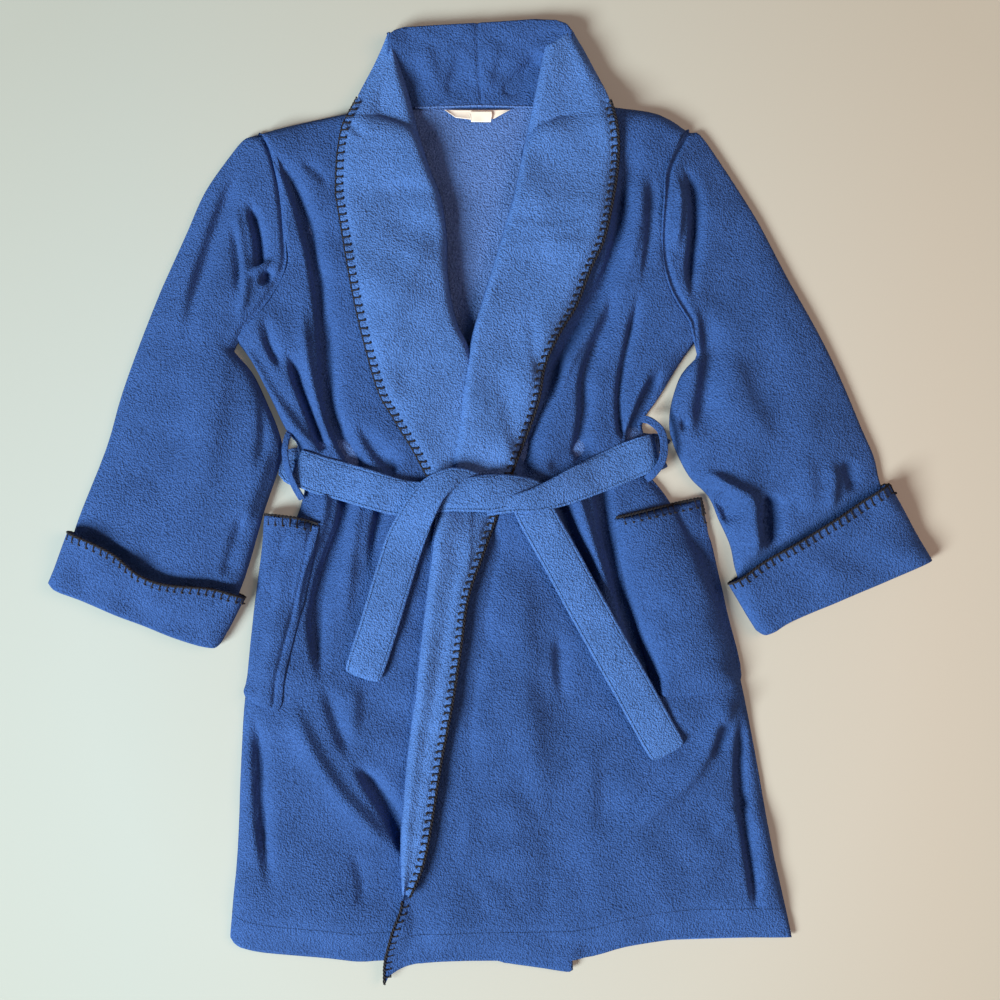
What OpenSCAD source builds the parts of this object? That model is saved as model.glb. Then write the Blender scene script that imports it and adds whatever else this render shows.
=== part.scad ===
// Fleece shawl-collar bathrobe, laid flat with its front up and its belt tied.
// Every layer of cloth is a flat plate at its own height, and the sleeves, cuffs and pockets are hollow.
// The origin is the middle of the footprint, on the surface that the robe lies on.
// +X is to the right as seen from above, +Y towards the collar, +Z up out of the cloth.
// Left and right are as seen from above.

/* [Overall size] */
// Width from one cuff to the other
robe_w = 970; // [900:10:1060]
// Length from the top of the collar to the tip of the front band
robe_l = 1064; // [980:10:1160]

/* [Cloth] */
// Thickness of one layer of fleece
cloth_t = 2.5; // [2:0.25:2.75]
// Air between layers that lie on each other
layer_gap = 0.5; // [0.4:0.1:0.7]
// Clear height left inside the body where it crosses the belt
body_room = 5; // [5:0.5:8]
// Depth of the turned-up hems
hem_depth = 35; // [25:1:40]

/* [Belt] */
// Width of the belt
belt_w = 42; // [38:1:46]
// Thickness of the belt, which is two layers of fleece
belt_t = 4; // [3:0.5:5]
// Width of the belt loops
loop_w = 10; // [7:1:12]

/* [Pockets] */
// Clear height inside a pocket
pocket_room = 5; // [4.5:0.5:5]

/* [Blanket stitching] */
// Distance from one stitch to the next
stitch_pitch = 8.5; // [7:0.5:11]
// Length of the yarn that crosses the edge
stitch_reach = 7; // [5:0.5:9]
// Width of the yarn
yarn_w = 1.6; // [1.2:0.1:2]

/* [Hidden] */
steps = 4;
design_w = 970;
design_l = 1064;
fleece_blue = [0.17, 0.33, 0.66];
lapel_blue = [0.21, 0.38, 0.72];
belt_blue = [0.24, 0.42, 0.76];
inner_blue = [0.14, 0.26, 0.52];
yarn_black = [0.03, 0.03, 0.05];
label_cream = [0.93, 0.9, 0.84];

// Heights of the layers, from the bottom up
layer = cloth_t + layer_gap;
hump_z = belt_t + layer_gap;
front_z = hump_z + cloth_t + body_room;
left_lapel_z = front_z + layer;
right_front_z = left_lapel_z + layer;
right_lapel_z = right_front_z + layer;
belt_z = right_lapel_z + layer;
tail_z = belt_z + belt_t + layer_gap;
knot_z = tail_z + belt_t + layer_gap;
knot_t = 3.5;
sleeve_z = layer;
sleeve_h = front_z + cloth_t + 1 - sleeve_z;
cuff_h = sleeve_z + sleeve_h + layer;
stand_z = layer;
pocket_h = pocket_room + cloth_t;
yarn_t = 1;
label_t = 0.6;

// ---- Curves ----
function design(points) = [for (p = points) [p[0] * robe_w / design_w, p[1] * robe_l / design_l]];
function pick(p, i) = p[max(0, min(len(p) - 1, i))];
function spline_point(a, b, c, d, t) =
  0.5 * (2 * b + (c - a) * t + (2 * a - 5 * b + 4 * c - d) * t * t + (3 * b - a - 3 * c + d) * t * t * t);
// A smooth line through hand-placed points
function curve(points) = let (p = design(points)) concat(
  [for (i = [0:len(p) - 2]) for (k = [0:steps - 1])
    spline_point(pick(p, i - 1), p[i], p[i + 1], pick(p, i + 2), k / steps)],
  [p[len(p) - 1]]);
function reversed(p) = [for (i = [len(p) - 1:-1:0]) p[i]];
function tidy(p) = [for (i = [0:len(p) - 1]) if (norm(p[i] - p[(i + 1) % len(p)]) > 0.05) p[i]];
function loop_of(runs) = tidy([for (run = runs) for (p = run) p]);
function unit(v) = v / norm(v);
function left_normal(a, b) = let (u = unit(b - a)) [-u[1], u[0]];
// An open line moved sideways, to its left where d is above 0
function shift(p, d) = [for (i = [0:len(p) - 1]) let (
    n = left_normal(pick(p, max(i, 1) - 1), pick(p, max(i, 1))),
    m = left_normal(pick(p, min(i, len(p) - 2)), pick(p, min(i, len(p) - 2) + 1)))
  p[i] + (n + m) / (1 + n * m) * d];
function longer(p, d) = concat(
  [p[0] + unit(p[0] - p[1]) * d], p, [p[len(p) - 1] + unit(p[len(p) - 1] - p[len(p) - 2]) * d]);
function band(p, w) = loop_of([shift(p, w / 2), reversed(shift(p, -w / 2))]);
function between(p, near, far) = loop_of([shift(p, near), reversed(shift(p, far))]);
// Lengths along a line, and the point and direction at one length
function lengths(p, i = 0, sum = 0) = i == len(p) - 1 ? [sum]
  : concat([sum], lengths(p, i + 1, sum + norm(p[i + 1] - p[i])));
function piece_at(run, s) = max([for (i = [0:len(run) - 2]) if (run[i] <= s || i == 0) i]);
function along(p, run, s) = let (i = piece_at(run, s)) p[i] + unit(p[i + 1] - p[i]) * (s - run[i]);
function aim(p, run, s) = let (i = piece_at(run, s)) left_normal(p[i], p[i + 1]);

// ---- Lines of the pattern, in millimetres at the design size ----
left_armhole = curve([[-255, 405], [-244, 390], [-233, 350], [-227, 292], [-228, 255], [-251, 216], [-282, 181]]);
right_armhole = curve([[220, 409], [200, 371], [194, 333], [192, 278], [200, 239], [215, 211], [232, 185]]);
left_flank = curve([[-282, 181], [-261, 153], [-240, 112], [-225, 80], [-213, 66]]);
left_waist = curve([[-213, 66], [-210, 42], [-205, 14]]);
left_skirt = curve([[-205, 14], [-213, -14], [-236, -60], [-252, -120], [-262, -170], [-271, -217], [-275, -283],
  [-279, -382], [-286, -465], [-286, -482], [-277, -491]]);
right_flank = curve([[232, 185], [209, 153], [187, 117], [172, 96], [168, 84]]);
right_waist = curve([[168, 84], [173, 56], [177, 28]]);
right_skirt = curve([[177, 28], [196, 5], [222, -40], [245, -90], [262, -140], [277, -195], [294, -281], [310, -371],
  [323, -430], [334, -480]]);
left_side = loop_of([left_flank, left_waist, left_skirt]);
right_side = loop_of([right_flank, right_waist, right_skirt]);
left_shoulder = curve([[-154, 430], [-210, 419], [-255, 405]]);
right_shoulder = curve([[134, 437], [187, 429], [220, 409]]);
back_neck = curve([[-154, 430], [-83, 437], [-12, 440], [47, 440], [134, 437]]);
back_bottom = curve([[-277, -491], [-145, -500], [0, -498], [150, -486], [334, -480]]);
left_neckline = curve([[-154, 430], [-118, 424], [-79, 405], [-66, 367], [-54, 337], [-47, 294], [-46, 250], [-37, 201],
  [-22, 170], [0, 120], [20, 60], [40, 0], [55, -100], [70, -250], [84, -400], [94, -504]]);
left_bottom = curve([[94, -504], [92, -515], [84, -518], [57, -514], [21, -509], [-7, -504], [-116, -505],
  [-145, -507], [-180, -503], [-250, -497], [-277, -491]]);
right_fold = curve([[134, 437], [95, 430], [60, 418], [38, 398], [26, 339], [10, 283], [-10, 216], [-22, 170],
  [-43, 32], [-58, -8], [-68, -87], [-85, -228], [-92, -290], [-97, -348], [-98, -394], [-95, -438], [-106, -470],
  [-115, -508], [-116, -532]]);
right_bottom = curve([[-116, -532], [-109, -520], [-83, -508], [-24, -504], [94, -503], [150, -490], [204, -482],
  [242, -480], [334, -480]]);
left_collar_edge = curve([[-112, 519], [-131, 477], [-147, 443], [-163, 406], [-169, 350], [-165, 317], [-147, 216],
  [-124, 128], [-108, 97], [-87, 63], [-68, 28], [-50, -3]]);
left_roll = curve([[-110, 514], [-102, 490], [-90, 452], [-79, 409], [-66, 367], [-54, 337], [-47, 294], [-46, 250],
  [-37, 201], [-22, 170], [-11, 135], [0, 91], [0, 40]]);
right_collar_edge = curve([[91, 519], [104, 499], [118, 470], [132, 436], [139, 400], [139, 370], [135, 339],
  [124, 288], [109, 255], [94, 216], [76, 186], [60, 152], [54, 119], [48, 97], [23, 31], [-8, -56], [-24, -102],
  [-32, -157], [-41, -217], [-53, -279], [-62, -336], [-72, -390], [-87, -428]]);
right_roll = curve([[60, 501], [48, 443], [40, 406], [26, 339], [10, 283], [-10, 216], [-22, 170], [-43, 32],
  [-58, -8], [-68, -87], [-85, -228], [-92, -290], [-97, -348], [-98, -394], [-96, -430]]);
collar_top = curve([[-112, 519], [-94, 524], [-59, 526], [-12, 528], [48, 532], [77, 530], [91, 519]]);
fall_top = curve([[-107, 512], [-90, 518], [-59, 521], [-12, 523], [48, 527], [74, 525], [86, 514]]);
fall_left = curve([[-107, 512], [-122, 478], [-132, 450]]);
fall_right = curve([[86, 514], [108, 480], [118, 450]]);
centre_seam_x = -12 * robe_w / design_w;

left_outer_arm = curve([[-255, 405], [-270, 402], [-286, 384], [-314, 344], [-332, 304], [-338, 290]]);
// A sleeve swings out about the underarm, so the crown ends on one ray from there and the arm starts on another
left_cap_end = curve([[-338, 290], [-290, 196]]);
left_arm_out = curve([[-356, 249], [-363, 235], [-386, 177], [-407, 118], [-424, 59], [-457, -25], [-472, -82]]);
left_arm_in = curve([[-289, 172], [-264, 146], [-246, 110], [-232, 75], [-230, 49], [-248, -6], [-255, -30],
  [-270, -81], [-291, -135]]);
right_outer_arm = curve([[220, 409], [232, 406], [257, 371], [288, 323], [304, 295]]);
right_cap_end = curve([[304, 295], [242, 199]]);
right_arm_out = curve([[327, 250], [362, 188], [387, 137], [411, 80], [424, 50], [431, 20], [452, -45]]);
right_arm_in = curve([[242, 172], [215, 147], [204, 124], [198, 95], [201, 68], [219, 30], [241, 7], [252, -18],
  [265, -47], [272, -78], [290, -118]]);

left_cuff_edge = curve([[-465, -32], [-437, -43], [-409, -58], [-382, -80], [-354, -90], [-308, -94], [-284, -100],
  [-267, -105]]);
left_cuff_rim = curve([[-465, -32], [-475, -62], [-485, -92], [-451, -108], [-400, -129], [-354, -147], [-312, -160],
  [-296, -154], [-267, -105]]);
right_cuff_edge = curve([[258, -84], [268, -87], [299, -65], [341, -41], [381, -16], [409, 3], [437, 21]]);
right_cuff_rim = curve([[258, -84], [272, -107], [296, -143], [311, -144], [333, -131], [390, -107], [472, -72],
  [485, -60], [462, -20], [437, 21]]);

left_pocket_rim = curve([[-250, -14], [-252, -50], [-261, -120], [-268, -190], [-270, -215], [-232, -228],
  [-223, -184], [-198, -85], [-186, -25]]);
left_pocket_top = curve([[-250, -14], [-214, -18], [-186, -25]]);
right_pocket_rim = curve([[136, -18], [144, -74], [169, -167], [184, -209], [220, -211], [254, -206], [278, -192],
  [262, -120], [249, -62], [233, 4]]);
right_pocket_top = curve([[136, -18], [158, -13], [191, -5], [233, 4]]);

left_band_line = curve([[-208, 41], [-190, 31], [-160, 23], [-132, 16], [-91, 4], [-60, 4]]);
right_band_line = curve([[176, 56], [146, 44], [102, 24], [55, 8], [20, 2]]);
back_band_line = curve([[-213, 41], [-100, 46], [60, 52], [180, 56]]);
left_tail_line = curve([[-76, 8], [-89, -35], [-102, -85], [-121, -140], [-136, -183]]);
right_tail_line = curve([[46, 0], [90, -88], [132, -162], [170, -228], [195, -270]]);
knot_outline = curve([[-97, -8], [-77, 8], [-47, 32], [-5, 33], [30, 27], [48, 18], [30, 6], [8, -9], [-40, -10],
  [-97, -10]]);
knot_core = curve([[-32, 22], [6, 22], [10, -2], [-28, -4]]);
left_loop_line = curve([[-228, 78], [-226, 64], [-222, 40], [-216, 16], [-213, 4]]);
right_loop_line = curve([[177, 97], [184, 80], [187, 56], [190, 38], [192, 26]]);
left_loop_t = 2.5;
right_loop_t = 4;
label_outline = design([[-50, 434], [-38, 425], [-21, 423], [4, 424], [22, 434]]);
tab_outline = design([[-22, 432], [-21, 420], [1, 420], [2, 432]]);

// ---- Building blocks ----
module plate(outline, z, h) {
  translate([0, 0, z])
    linear_extrude(h)
      polygon(outline);
}

// Yarn that runs along an edge, with a cross stitch at every pitch that reaches to the line's left
module blanket_stitch(line, z) {
  run = lengths(line);
  total = run[len(run) - 1];
  count = floor((total - 4) / stitch_pitch);
  start = (total - (count - 1) * stitch_pitch) / 2;
  outer = shift(line, -yarn_w / 2);
  teeth = [for (k = [0:count - 1]) for (corner = [[-1, 0], [-1, 1], [1, 1], [1, 0]])
    let (s = start + k * stitch_pitch + corner[0] * yarn_w / 2)
    along(line, run, s) + aim(line, run, s) * (corner[1] == 1 ? stitch_reach : yarn_w / 2)];
  first = line[0] + left_normal(line[0], line[1]) * yarn_w / 2;
  last = line[len(line) - 1] + left_normal(line[len(line) - 2], line[len(line) - 1]) * yarn_w / 2;
  plate(loop_of([[first], teeth, [last], reversed(outer)]), z, yarn_t);
}

// A sleeve pressed flat: open at both ends, and along its inner side where the seam strip closes it
module flat_sleeve(out_line, in_line) {
  over = 10;
  difference() {
    plate(loop_of([out_line, reversed(in_line)]), sleeve_z, sleeve_h);
    plate(loop_of([longer(shift(out_line, cloth_t), over), reversed(longer(shift(in_line, cloth_t), over))]),
      sleeve_z + cloth_t, sleeve_h - 2 * cloth_t);
  }
}
module sleeve_seam(in_line) {
  plate(between(in_line, 0, -cloth_t), sleeve_z + cloth_t, sleeve_h - 2 * cloth_t);
}

// The space that the belt takes under the back
module belt_channel(w, h) {
  plate(band(longer(back_band_line, 60), w), -1, h + 1);
}

// A cuff turned back over the end of a sleeve: the rim runs round its sides and its fold
module turned_cuff(rim, edge, out_of_sleeve) {
  difference() {
    plate(loop_of([rim, reversed(edge)]), 0, cuff_h);
    plate(longer(shift(rim, cloth_t), 30), cloth_t, cuff_h - 2 * cloth_t);
    translate(concat(out_of_sleeve, [0]))
      plate(shift(rim, 9), sleeve_z + cloth_t, sleeve_h - 2 * cloth_t);
  }
}

// A patch sewn on at its sides and bottom, and open at its top
module patch_pocket(rim, top, z) {
  difference() {
    plate(loop_of([rim, reversed(top)]), z, pocket_h);
    plate(longer(shift(rim, cloth_t), 12), z - 1, pocket_room + 1);
  }
}

// A strip of cloth hem_depth deep that follows a bottom edge
module turned_hem(edge, z) {
  plate(between(edge, 0, hem_depth), z, cloth_t);
}

// A strip that joins the back to a front along a seam
module seam_strip(line, top_z) {
  difference() {
    plate(between(line, 0, cloth_t), cloth_t, top_z - cloth_t);
    belt_channel(belt_w + 4 * cloth_t, hump_z + cloth_t);
  }
}

// A belt end: a flat band with a rounded tip
module belt_end(line, z) {
  tip = line[len(line) - 1];
  union() {
    plate(band(line, belt_w), z, belt_t);
    translate([tip[0], tip[1], z])
      cylinder(r = belt_w / 2, h = belt_t, $fn = 48);
  }
}

// ---- Body ----
module back_panel() {
  outline = loop_of([back_neck, right_shoulder, right_armhole, right_side, reversed(back_bottom),
    reversed(left_side), reversed(left_armhole), reversed(left_shoulder)]);
  color(inner_blue)
    difference() {
      union() {
        plate(outline, 0, cloth_t);
        intersection() {
          plate(outline, 0, hump_z + cloth_t);
          belt_channel(belt_w + 4 * cloth_t, hump_z + cloth_t);
        }
      }
      belt_channel(belt_w + 2 * layer_gap, hump_z);
    }
}
module left_front() {
  color(fleece_blue)
    plate(loop_of([left_neckline, left_bottom, reversed(left_side), reversed(left_armhole),
      reversed(left_shoulder)]), front_z, cloth_t);
}
module right_front() {
  color(fleece_blue)
    plate(loop_of([right_shoulder, right_armhole, right_side, reversed(right_bottom), reversed(right_fold)]),
      right_front_z, cloth_t);
}
module back_hem() {
  color(inner_blue)
    turned_hem(design([[-250, -493], [-145, -500], [0, -498], [150, -486], [310, -481]]), cloth_t);
}
module left_front_hem() {
  color(inner_blue)
    turned_hem(reversed(design([[80, -516], [20, -508], [-116, -505], [-180, -502], [-250, -496]])),
      front_z - cloth_t);
}
module right_front_hem() {
  color(inner_blue)
    turned_hem(design([[-66, -505], [94, -502], [150, -490], [204, -481], [310, -480]]), right_front_z - cloth_t);
}
module left_side_seam() {
  color(fleece_blue)
    seam_strip(left_side, front_z);
}
module right_side_seam() {
  color(fleece_blue)
    seam_strip(reversed(right_side), right_front_z);
}
module left_shoulder_seam() {
  line = [for (p = left_shoulder) if (p[0] > left_armhole[0][0] + 3 * cloth_t) p];
  color(fleece_blue)
    plate(between(line, 0, cloth_t), cloth_t, front_z - cloth_t);
}
module right_shoulder_seam() {
  line = [for (p = right_shoulder) if (p[0] < right_armhole[0][0] - 3 * cloth_t) p];
  color(fleece_blue)
    plate(between(line, 0, -cloth_t), cloth_t, right_front_z - cloth_t);
}

// ---- Collar ----
module neck_seam() {
  line = curve([[-83, 437], [-12, 440], [47, 440]]);
  color(inner_blue)
    plate(between(line, 0, -4), cloth_t, layer_gap);
}
module collar_stand_all() {
  low = curve([[-104, 436], [-60, 436], [-12, 437], [47, 438], [74, 438]]);
  high = [for (p = collar_top) if (p[0] > low[0][0] && p[0] < low[len(low) - 1][0]) p];
  plate(loop_of([low, reversed(high)]), stand_z, cloth_t);
  plate(between(high, 0, -cloth_t), 0, stand_z);
}
module stand_half(side) {
  reach = 400;
  intersection() {
    collar_stand_all();
    translate([side < 0 ? centre_seam_x - reach : centre_seam_x, 0, -1])
      cube([reach, 2 * reach, 2 * stand_z + cloth_t]);
  }
}
module left_collar_stand() {
  color(inner_blue)
    stand_half(-1);
}
module right_collar_stand() {
  color(inner_blue)
    stand_half(1);
}
module collar_fall() {
  color(fleece_blue)
    plate(loop_of([fall_left, reversed(fall_right), reversed(fall_top)]), 0, cloth_t);
}
module left_lapel() {
  wall = [for (p = left_roll) if (p[1] > 440) p];
  color(lapel_blue)
    union() {
      plate(loop_of([left_collar_edge, reversed(left_roll)]), left_lapel_z, cloth_t);
      plate(between(wall, 0, -cloth_t), stand_z + cloth_t, left_lapel_z - stand_z - cloth_t);
    }
}
module right_lapel() {
  wall = [for (p = right_roll) if (p[1] > 440) p];
  color(lapel_blue)
    union() {
      plate(loop_of([right_collar_edge, reversed(right_roll)]), right_lapel_z, cloth_t);
      plate(between(wall, 0, cloth_t), stand_z + cloth_t, right_lapel_z - stand_z - cloth_t);
    }
}
module left_lapel_stitching() {
  color(yarn_black)
    blanket_stitch([for (p = left_collar_edge) if (p[1] > 40 && p[1] < 446) p], left_lapel_z + cloth_t);
}
module right_lapel_stitching() {
  // Pressed thin where the belt crosses it
  color(yarn_black)
    difference() {
      blanket_stitch(reversed([for (p = right_collar_edge) if (p[1] < 440) p]), right_lapel_z + cloth_t);
      plate(band(longer(right_band_line, 2), belt_w + 2), belt_z - 0.1, belt_t);
    }
}
module left_front_stitching() {
  line = curve([[94, -504], [84, -400], [70, -250]]);
  color(yarn_black)
    blanket_stitch(shift(line, -yarn_w), front_z + cloth_t);
}

// ---- Sleeves ----
function moved(p, by) = [for (q = p) q + by];
// The crown of a sleeve, open to the body and to the arm. inward is 1 where +X leads into the body
module sleeve_cap(out_line, end_line, armhole, inward) {
  past = 12;
  difference() {
    plate(loop_of([out_line, end_line, reversed(armhole)]), 0, front_z + cloth_t);
    plate(loop_of([longer(shift(out_line, inward * cloth_t), cloth_t), moved(end_line, [0, -past]),
      reversed(moved(armhole, [inward * past, -past / 2]))]), cloth_t, front_z - cloth_t);
  }
}
module left_sleeve_cap() {
  color(fleece_blue)
    sleeve_cap(left_outer_arm, left_cap_end, left_armhole, 1);
}
module right_sleeve_cap() {
  color(fleece_blue)
    sleeve_cap(right_outer_arm, right_cap_end, right_armhole, -1);
}
module left_sleeve() {
  color(fleece_blue)
    flat_sleeve(left_arm_out, left_arm_in);
}
module right_sleeve() {
  color(fleece_blue)
    flat_sleeve(reversed(right_arm_out), reversed(right_arm_in));
}
module left_sleeve_seam() {
  color(fleece_blue)
    sleeve_seam(left_arm_in);
}
module right_sleeve_seam() {
  color(fleece_blue)
    sleeve_seam(reversed(right_arm_in));
}
module left_cuff() {
  color(fleece_blue)
    turned_cuff(left_cuff_rim, left_cuff_edge, [-6, -16]);
}
module right_cuff() {
  color(fleece_blue)
    turned_cuff(right_cuff_rim, right_cuff_edge, [8, -15]);
}
module left_cuff_stitching() {
  color(yarn_black)
    blanket_stitch(reversed(shift(left_cuff_edge, -yarn_w)), cuff_h);
}
module right_cuff_stitching() {
  color(yarn_black)
    blanket_stitch(reversed(shift(right_cuff_edge, -yarn_w)), cuff_h);
}

// ---- Pockets ----
module left_pocket() {
  color(fleece_blue)
    patch_pocket(left_pocket_rim, left_pocket_top, front_z + cloth_t);
}
module right_pocket() {
  color(fleece_blue)
    patch_pocket(right_pocket_rim, right_pocket_top, right_front_z + cloth_t);
}
module left_pocket_stitching() {
  color(yarn_black)
    blanket_stitch(reversed(shift(left_pocket_top, -yarn_w)), front_z + cloth_t + pocket_h);
}
module right_pocket_stitching() {
  color(yarn_black)
    blanket_stitch(reversed(shift(right_pocket_top, -yarn_w)), right_front_z + cloth_t + pocket_h);
}

// ---- Belt ----
module belt_back() {
  color(belt_blue)
    plate(band(back_band_line, belt_w), 0, belt_t);
}
module belt_left_band() {
  color(belt_blue)
    union() {
      plate(band(left_band_line, belt_w), belt_z, belt_t);
      plate(between(left_waist, -layer_gap, -layer_gap - belt_t), belt_t, belt_z);
    }
}
module belt_right_band() {
  color(belt_blue)
    union() {
      plate(band(right_band_line, belt_w), belt_z, belt_t);
      plate(between(right_waist, layer_gap, layer_gap + belt_t), belt_t, belt_z);
    }
}
module belt_knot() {
  color(belt_blue)
    union() {
      plate(tidy(knot_outline), knot_z, knot_t);
      plate(tidy(knot_core), belt_z + belt_t, knot_z - belt_z - belt_t);
    }
}
module belt_left_end() {
  color(belt_blue)
    belt_end(left_tail_line, tail_z);
}
module belt_right_end() {
  color(belt_blue)
    belt_end(right_tail_line, tail_z);
}
module left_belt_loop() {
  color(fleece_blue)
    plate(band(left_loop_line, left_loop_t), hump_z + cloth_t, loop_w);
}
module right_belt_loop() {
  color(fleece_blue)
    plate(band(right_loop_line, right_loop_t), hump_z + cloth_t, loop_w);
}

// ---- Labels ----
module neck_label() {
  color(label_cream)
    plate(label_outline, cloth_t + 0.3, label_t);
}
module care_tab() {
  color(label_cream)
    plate(tab_outline, cloth_t + 0.3 + label_t, label_t);
}

back_panel();
left_front();
right_front();
back_hem();
left_front_hem();
right_front_hem();
left_side_seam();
right_side_seam();
left_shoulder_seam();
right_shoulder_seam();
neck_seam();
left_collar_stand();
right_collar_stand();
collar_fall();
left_lapel();
right_lapel();
left_lapel_stitching();
right_lapel_stitching();
left_front_stitching();
left_sleeve_cap();
right_sleeve_cap();
left_sleeve();
right_sleeve();
left_sleeve_seam();
right_sleeve_seam();
left_cuff();
right_cuff();
left_cuff_stitching();
right_cuff_stitching();
left_pocket();
right_pocket();
left_pocket_stitching();
right_pocket_stitching();
belt_back();
belt_left_band();
belt_right_band();
belt_knot();
belt_left_end();
belt_right_end();
left_belt_loop();
right_belt_loop();
neck_label();
care_tab();
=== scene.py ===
import bpy
import bmesh
import math
import random
import numpy as np
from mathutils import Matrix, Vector


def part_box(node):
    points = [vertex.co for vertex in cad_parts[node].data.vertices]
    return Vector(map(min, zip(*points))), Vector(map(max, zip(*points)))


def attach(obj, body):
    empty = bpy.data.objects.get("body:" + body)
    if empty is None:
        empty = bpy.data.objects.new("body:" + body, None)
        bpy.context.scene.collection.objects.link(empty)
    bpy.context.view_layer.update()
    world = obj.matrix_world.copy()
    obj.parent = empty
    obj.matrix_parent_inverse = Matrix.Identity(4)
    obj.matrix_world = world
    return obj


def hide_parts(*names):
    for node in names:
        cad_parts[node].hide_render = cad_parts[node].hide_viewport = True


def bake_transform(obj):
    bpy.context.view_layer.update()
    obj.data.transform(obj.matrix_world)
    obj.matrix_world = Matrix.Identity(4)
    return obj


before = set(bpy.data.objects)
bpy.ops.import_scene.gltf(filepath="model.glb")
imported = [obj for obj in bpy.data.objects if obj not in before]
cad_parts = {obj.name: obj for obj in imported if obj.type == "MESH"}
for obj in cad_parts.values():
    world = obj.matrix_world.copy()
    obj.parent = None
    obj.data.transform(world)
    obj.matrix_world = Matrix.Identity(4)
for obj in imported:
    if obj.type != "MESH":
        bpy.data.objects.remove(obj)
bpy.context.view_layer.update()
mm = 0.001
print("frame loaded")


# the CAD nodes' outlines are read level by level, and the cloth is laid inside them
def turned(points, turn):
    c, s = math.cos(turn), math.sin(turn)
    return points @ np.array([[c, s], [-s, c]])


def outlineOf(names, turn, every):
    # edges on the upper faces of CAD nodes, turned so that a slanted piece stands upright
    points, pairs, start = [], [], 0
    for name in names:
        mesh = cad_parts[name].data
        co = np.array([v.co[:] for v in mesh.vertices])
        ends = np.array([e.vertices[:] for e in mesh.edges])
        upper = co[:, 2] > (-1 if every else co[:, 2].max() - 0.1 * mm)
        points.append(co[:, :2])
        pairs.append(ends[upper[ends].all(axis=1)] + start)
        start += len(co)
    return turned(np.vstack(points), turn), np.vstack(pairs)


def spansOf(outline, axis, count=600, inset=0.25 * mm):  # where each level line enters and leaves the outline
    points, pairs = outline
    a, b = points[pairs[:, 0]], points[pairs[:, 1]]
    used = points[pairs.ravel(), axis]
    levels = np.linspace(used.min() + inset, used.max() - inset, count)
    low, high = [], []
    for level in levels:
        cut = ((a[:, axis] - level) * (b[:, axis] - level) <= 0) & (np.abs(a[:, axis] - b[:, axis]) > 1e-7)
        pa, pb = a[cut], b[cut]
        other = pa[:, 1 - axis] + (pb[:, 1 - axis] - pa[:, 1 - axis]) * (level - pa[:, axis]) / (
            pb[:, axis] - pa[:, axis])
        low.append(other.min())
        high.append(other.max())
    return levels, np.array(low), np.array(high)


class Cloth:  # a stretch of cloth between the long edges of its CAD nodes, with its own top and bottom line
    def __init__(self, names, turn=0.0, low=0.0, high=0.0, reach=90 * mm, bridges=(), every=False):
        self.turn = turn
        outline = outlineOf(names, turn, every)
        self.rows, self.left, self.right = spansOf(outline, 1)
        self.cols, self.bottom, self.top = spansOf(outline, 0)
        for edge, near, far in bridges:  # a gap between two nodes is crossed in a straight line
            gap = (self.rows > near) & (self.rows < far)
            line = self.left if edge == "left" else self.right
            line[gap] = np.interp(self.rows[gap], self.rows[~gap], line[~gap])
        self.low, self.high, self.reach = self.rows[0] + low, self.rows[-1] - high, reach

    def edges(self, y):
        return np.interp(y, self.rows, self.left), np.interp(y, self.rows, self.right)

    def lines(self, x):
        return np.interp(x, self.cols, self.bottom), np.interp(x, self.cols, self.top)

    def at(self, u, v):  # u across, v from the bottom to the top
        row = self.low + (self.high - self.low) * v
        left, right = self.edges(row)
        x = left + (right - left) * u
        bottom, top = self.lines(x)
        inside = smooth(np.minimum(u, 1 - u), 0, 0.12)  # the side edges keep to their own line
        near = 1 - smooth(row, self.low, self.low + self.reach)
        y = row + (bottom - self.low) * near * (inside + (1 - inside) * near ** 6)
        near = smooth(row, self.high - self.reach, self.high)
        return x, y + (top - self.high) * near * (inside + (1 - inside) * near ** 6)

    def flat(self, x, y):
        p = turned(np.column_stack([x, y]), -self.turn)
        return p[:, 0], p[:, 1]

    def own(self, x, y):
        p = turned(np.column_stack([x, y]), self.turn)
        return p[:, 0], p[:, 1]

    def depths(self, x, y):  # distances in from the left edge, right edge, bottom line and top line
        x, y = self.own(x, y)
        left, right = self.edges(y)
        bottom, top = self.lines(x)
        return x - left, right - x, y - bottom, top - y


# these work on whole arrays of points
def smooth(x, low, high):
    t = np.clip((x - low) / (high - low), 0, 1)
    return t * t * (3 - 2 * t)


def rounded(distance, radius):  # 0 at an edge, up a quarter circle, 1 beyond the radius
    t = 1 - np.clip(distance / radius, 0, 1)
    return np.sqrt(np.maximum(0, 1 - t * t))


def curveThrough(points, steps=6):  # a smooth run through rows of any numbers
    p = np.array(points, float)
    out = []
    for i in range(len(p) - 1):
        a, b, c, d = p[max(i - 1, 0)], p[i], p[i + 1], p[min(i + 2, len(p) - 1)]
        for k in range(steps):
            t = k / steps
            out.append(0.5 * (2 * b + (c - a) * t + (2 * a - 5 * b + 4 * c - d) * t * t
                              + (3 * b - a - 3 * c + d) * t ** 3))
    return np.array(out + [p[-1]])


def nearLine(x, y, line):  # signed distance to a line (above 0 on its left), and the share of the way along
    a, b = line[:-1, :2], line[1:, :2]
    d = b - a
    lengths = np.hypot(d[:, 0], d[:, 1])
    px, py = x[:, None] - a[None, :, 0], y[:, None] - a[None, :, 1]
    t = np.clip((px * d[:, 0] + py * d[:, 1]) / (lengths ** 2 + 1e-12), 0, 1)
    dx, dy = px - t * d[:, 0], py - t * d[:, 1]
    far = np.hypot(dx, dy)
    best = far.argmin(axis=1)
    rows = np.arange(len(x))
    side = np.sign(d[best, 0] * py[rows, best] - d[best, 1] * px[rows, best])
    run = np.concatenate([[0], np.cumsum(lengths)])
    along = (run[best] + t[rows, best] * lengths[best]) / run[-1]
    return far[rows, best] * np.where(side == 0, 1, side), along


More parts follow.
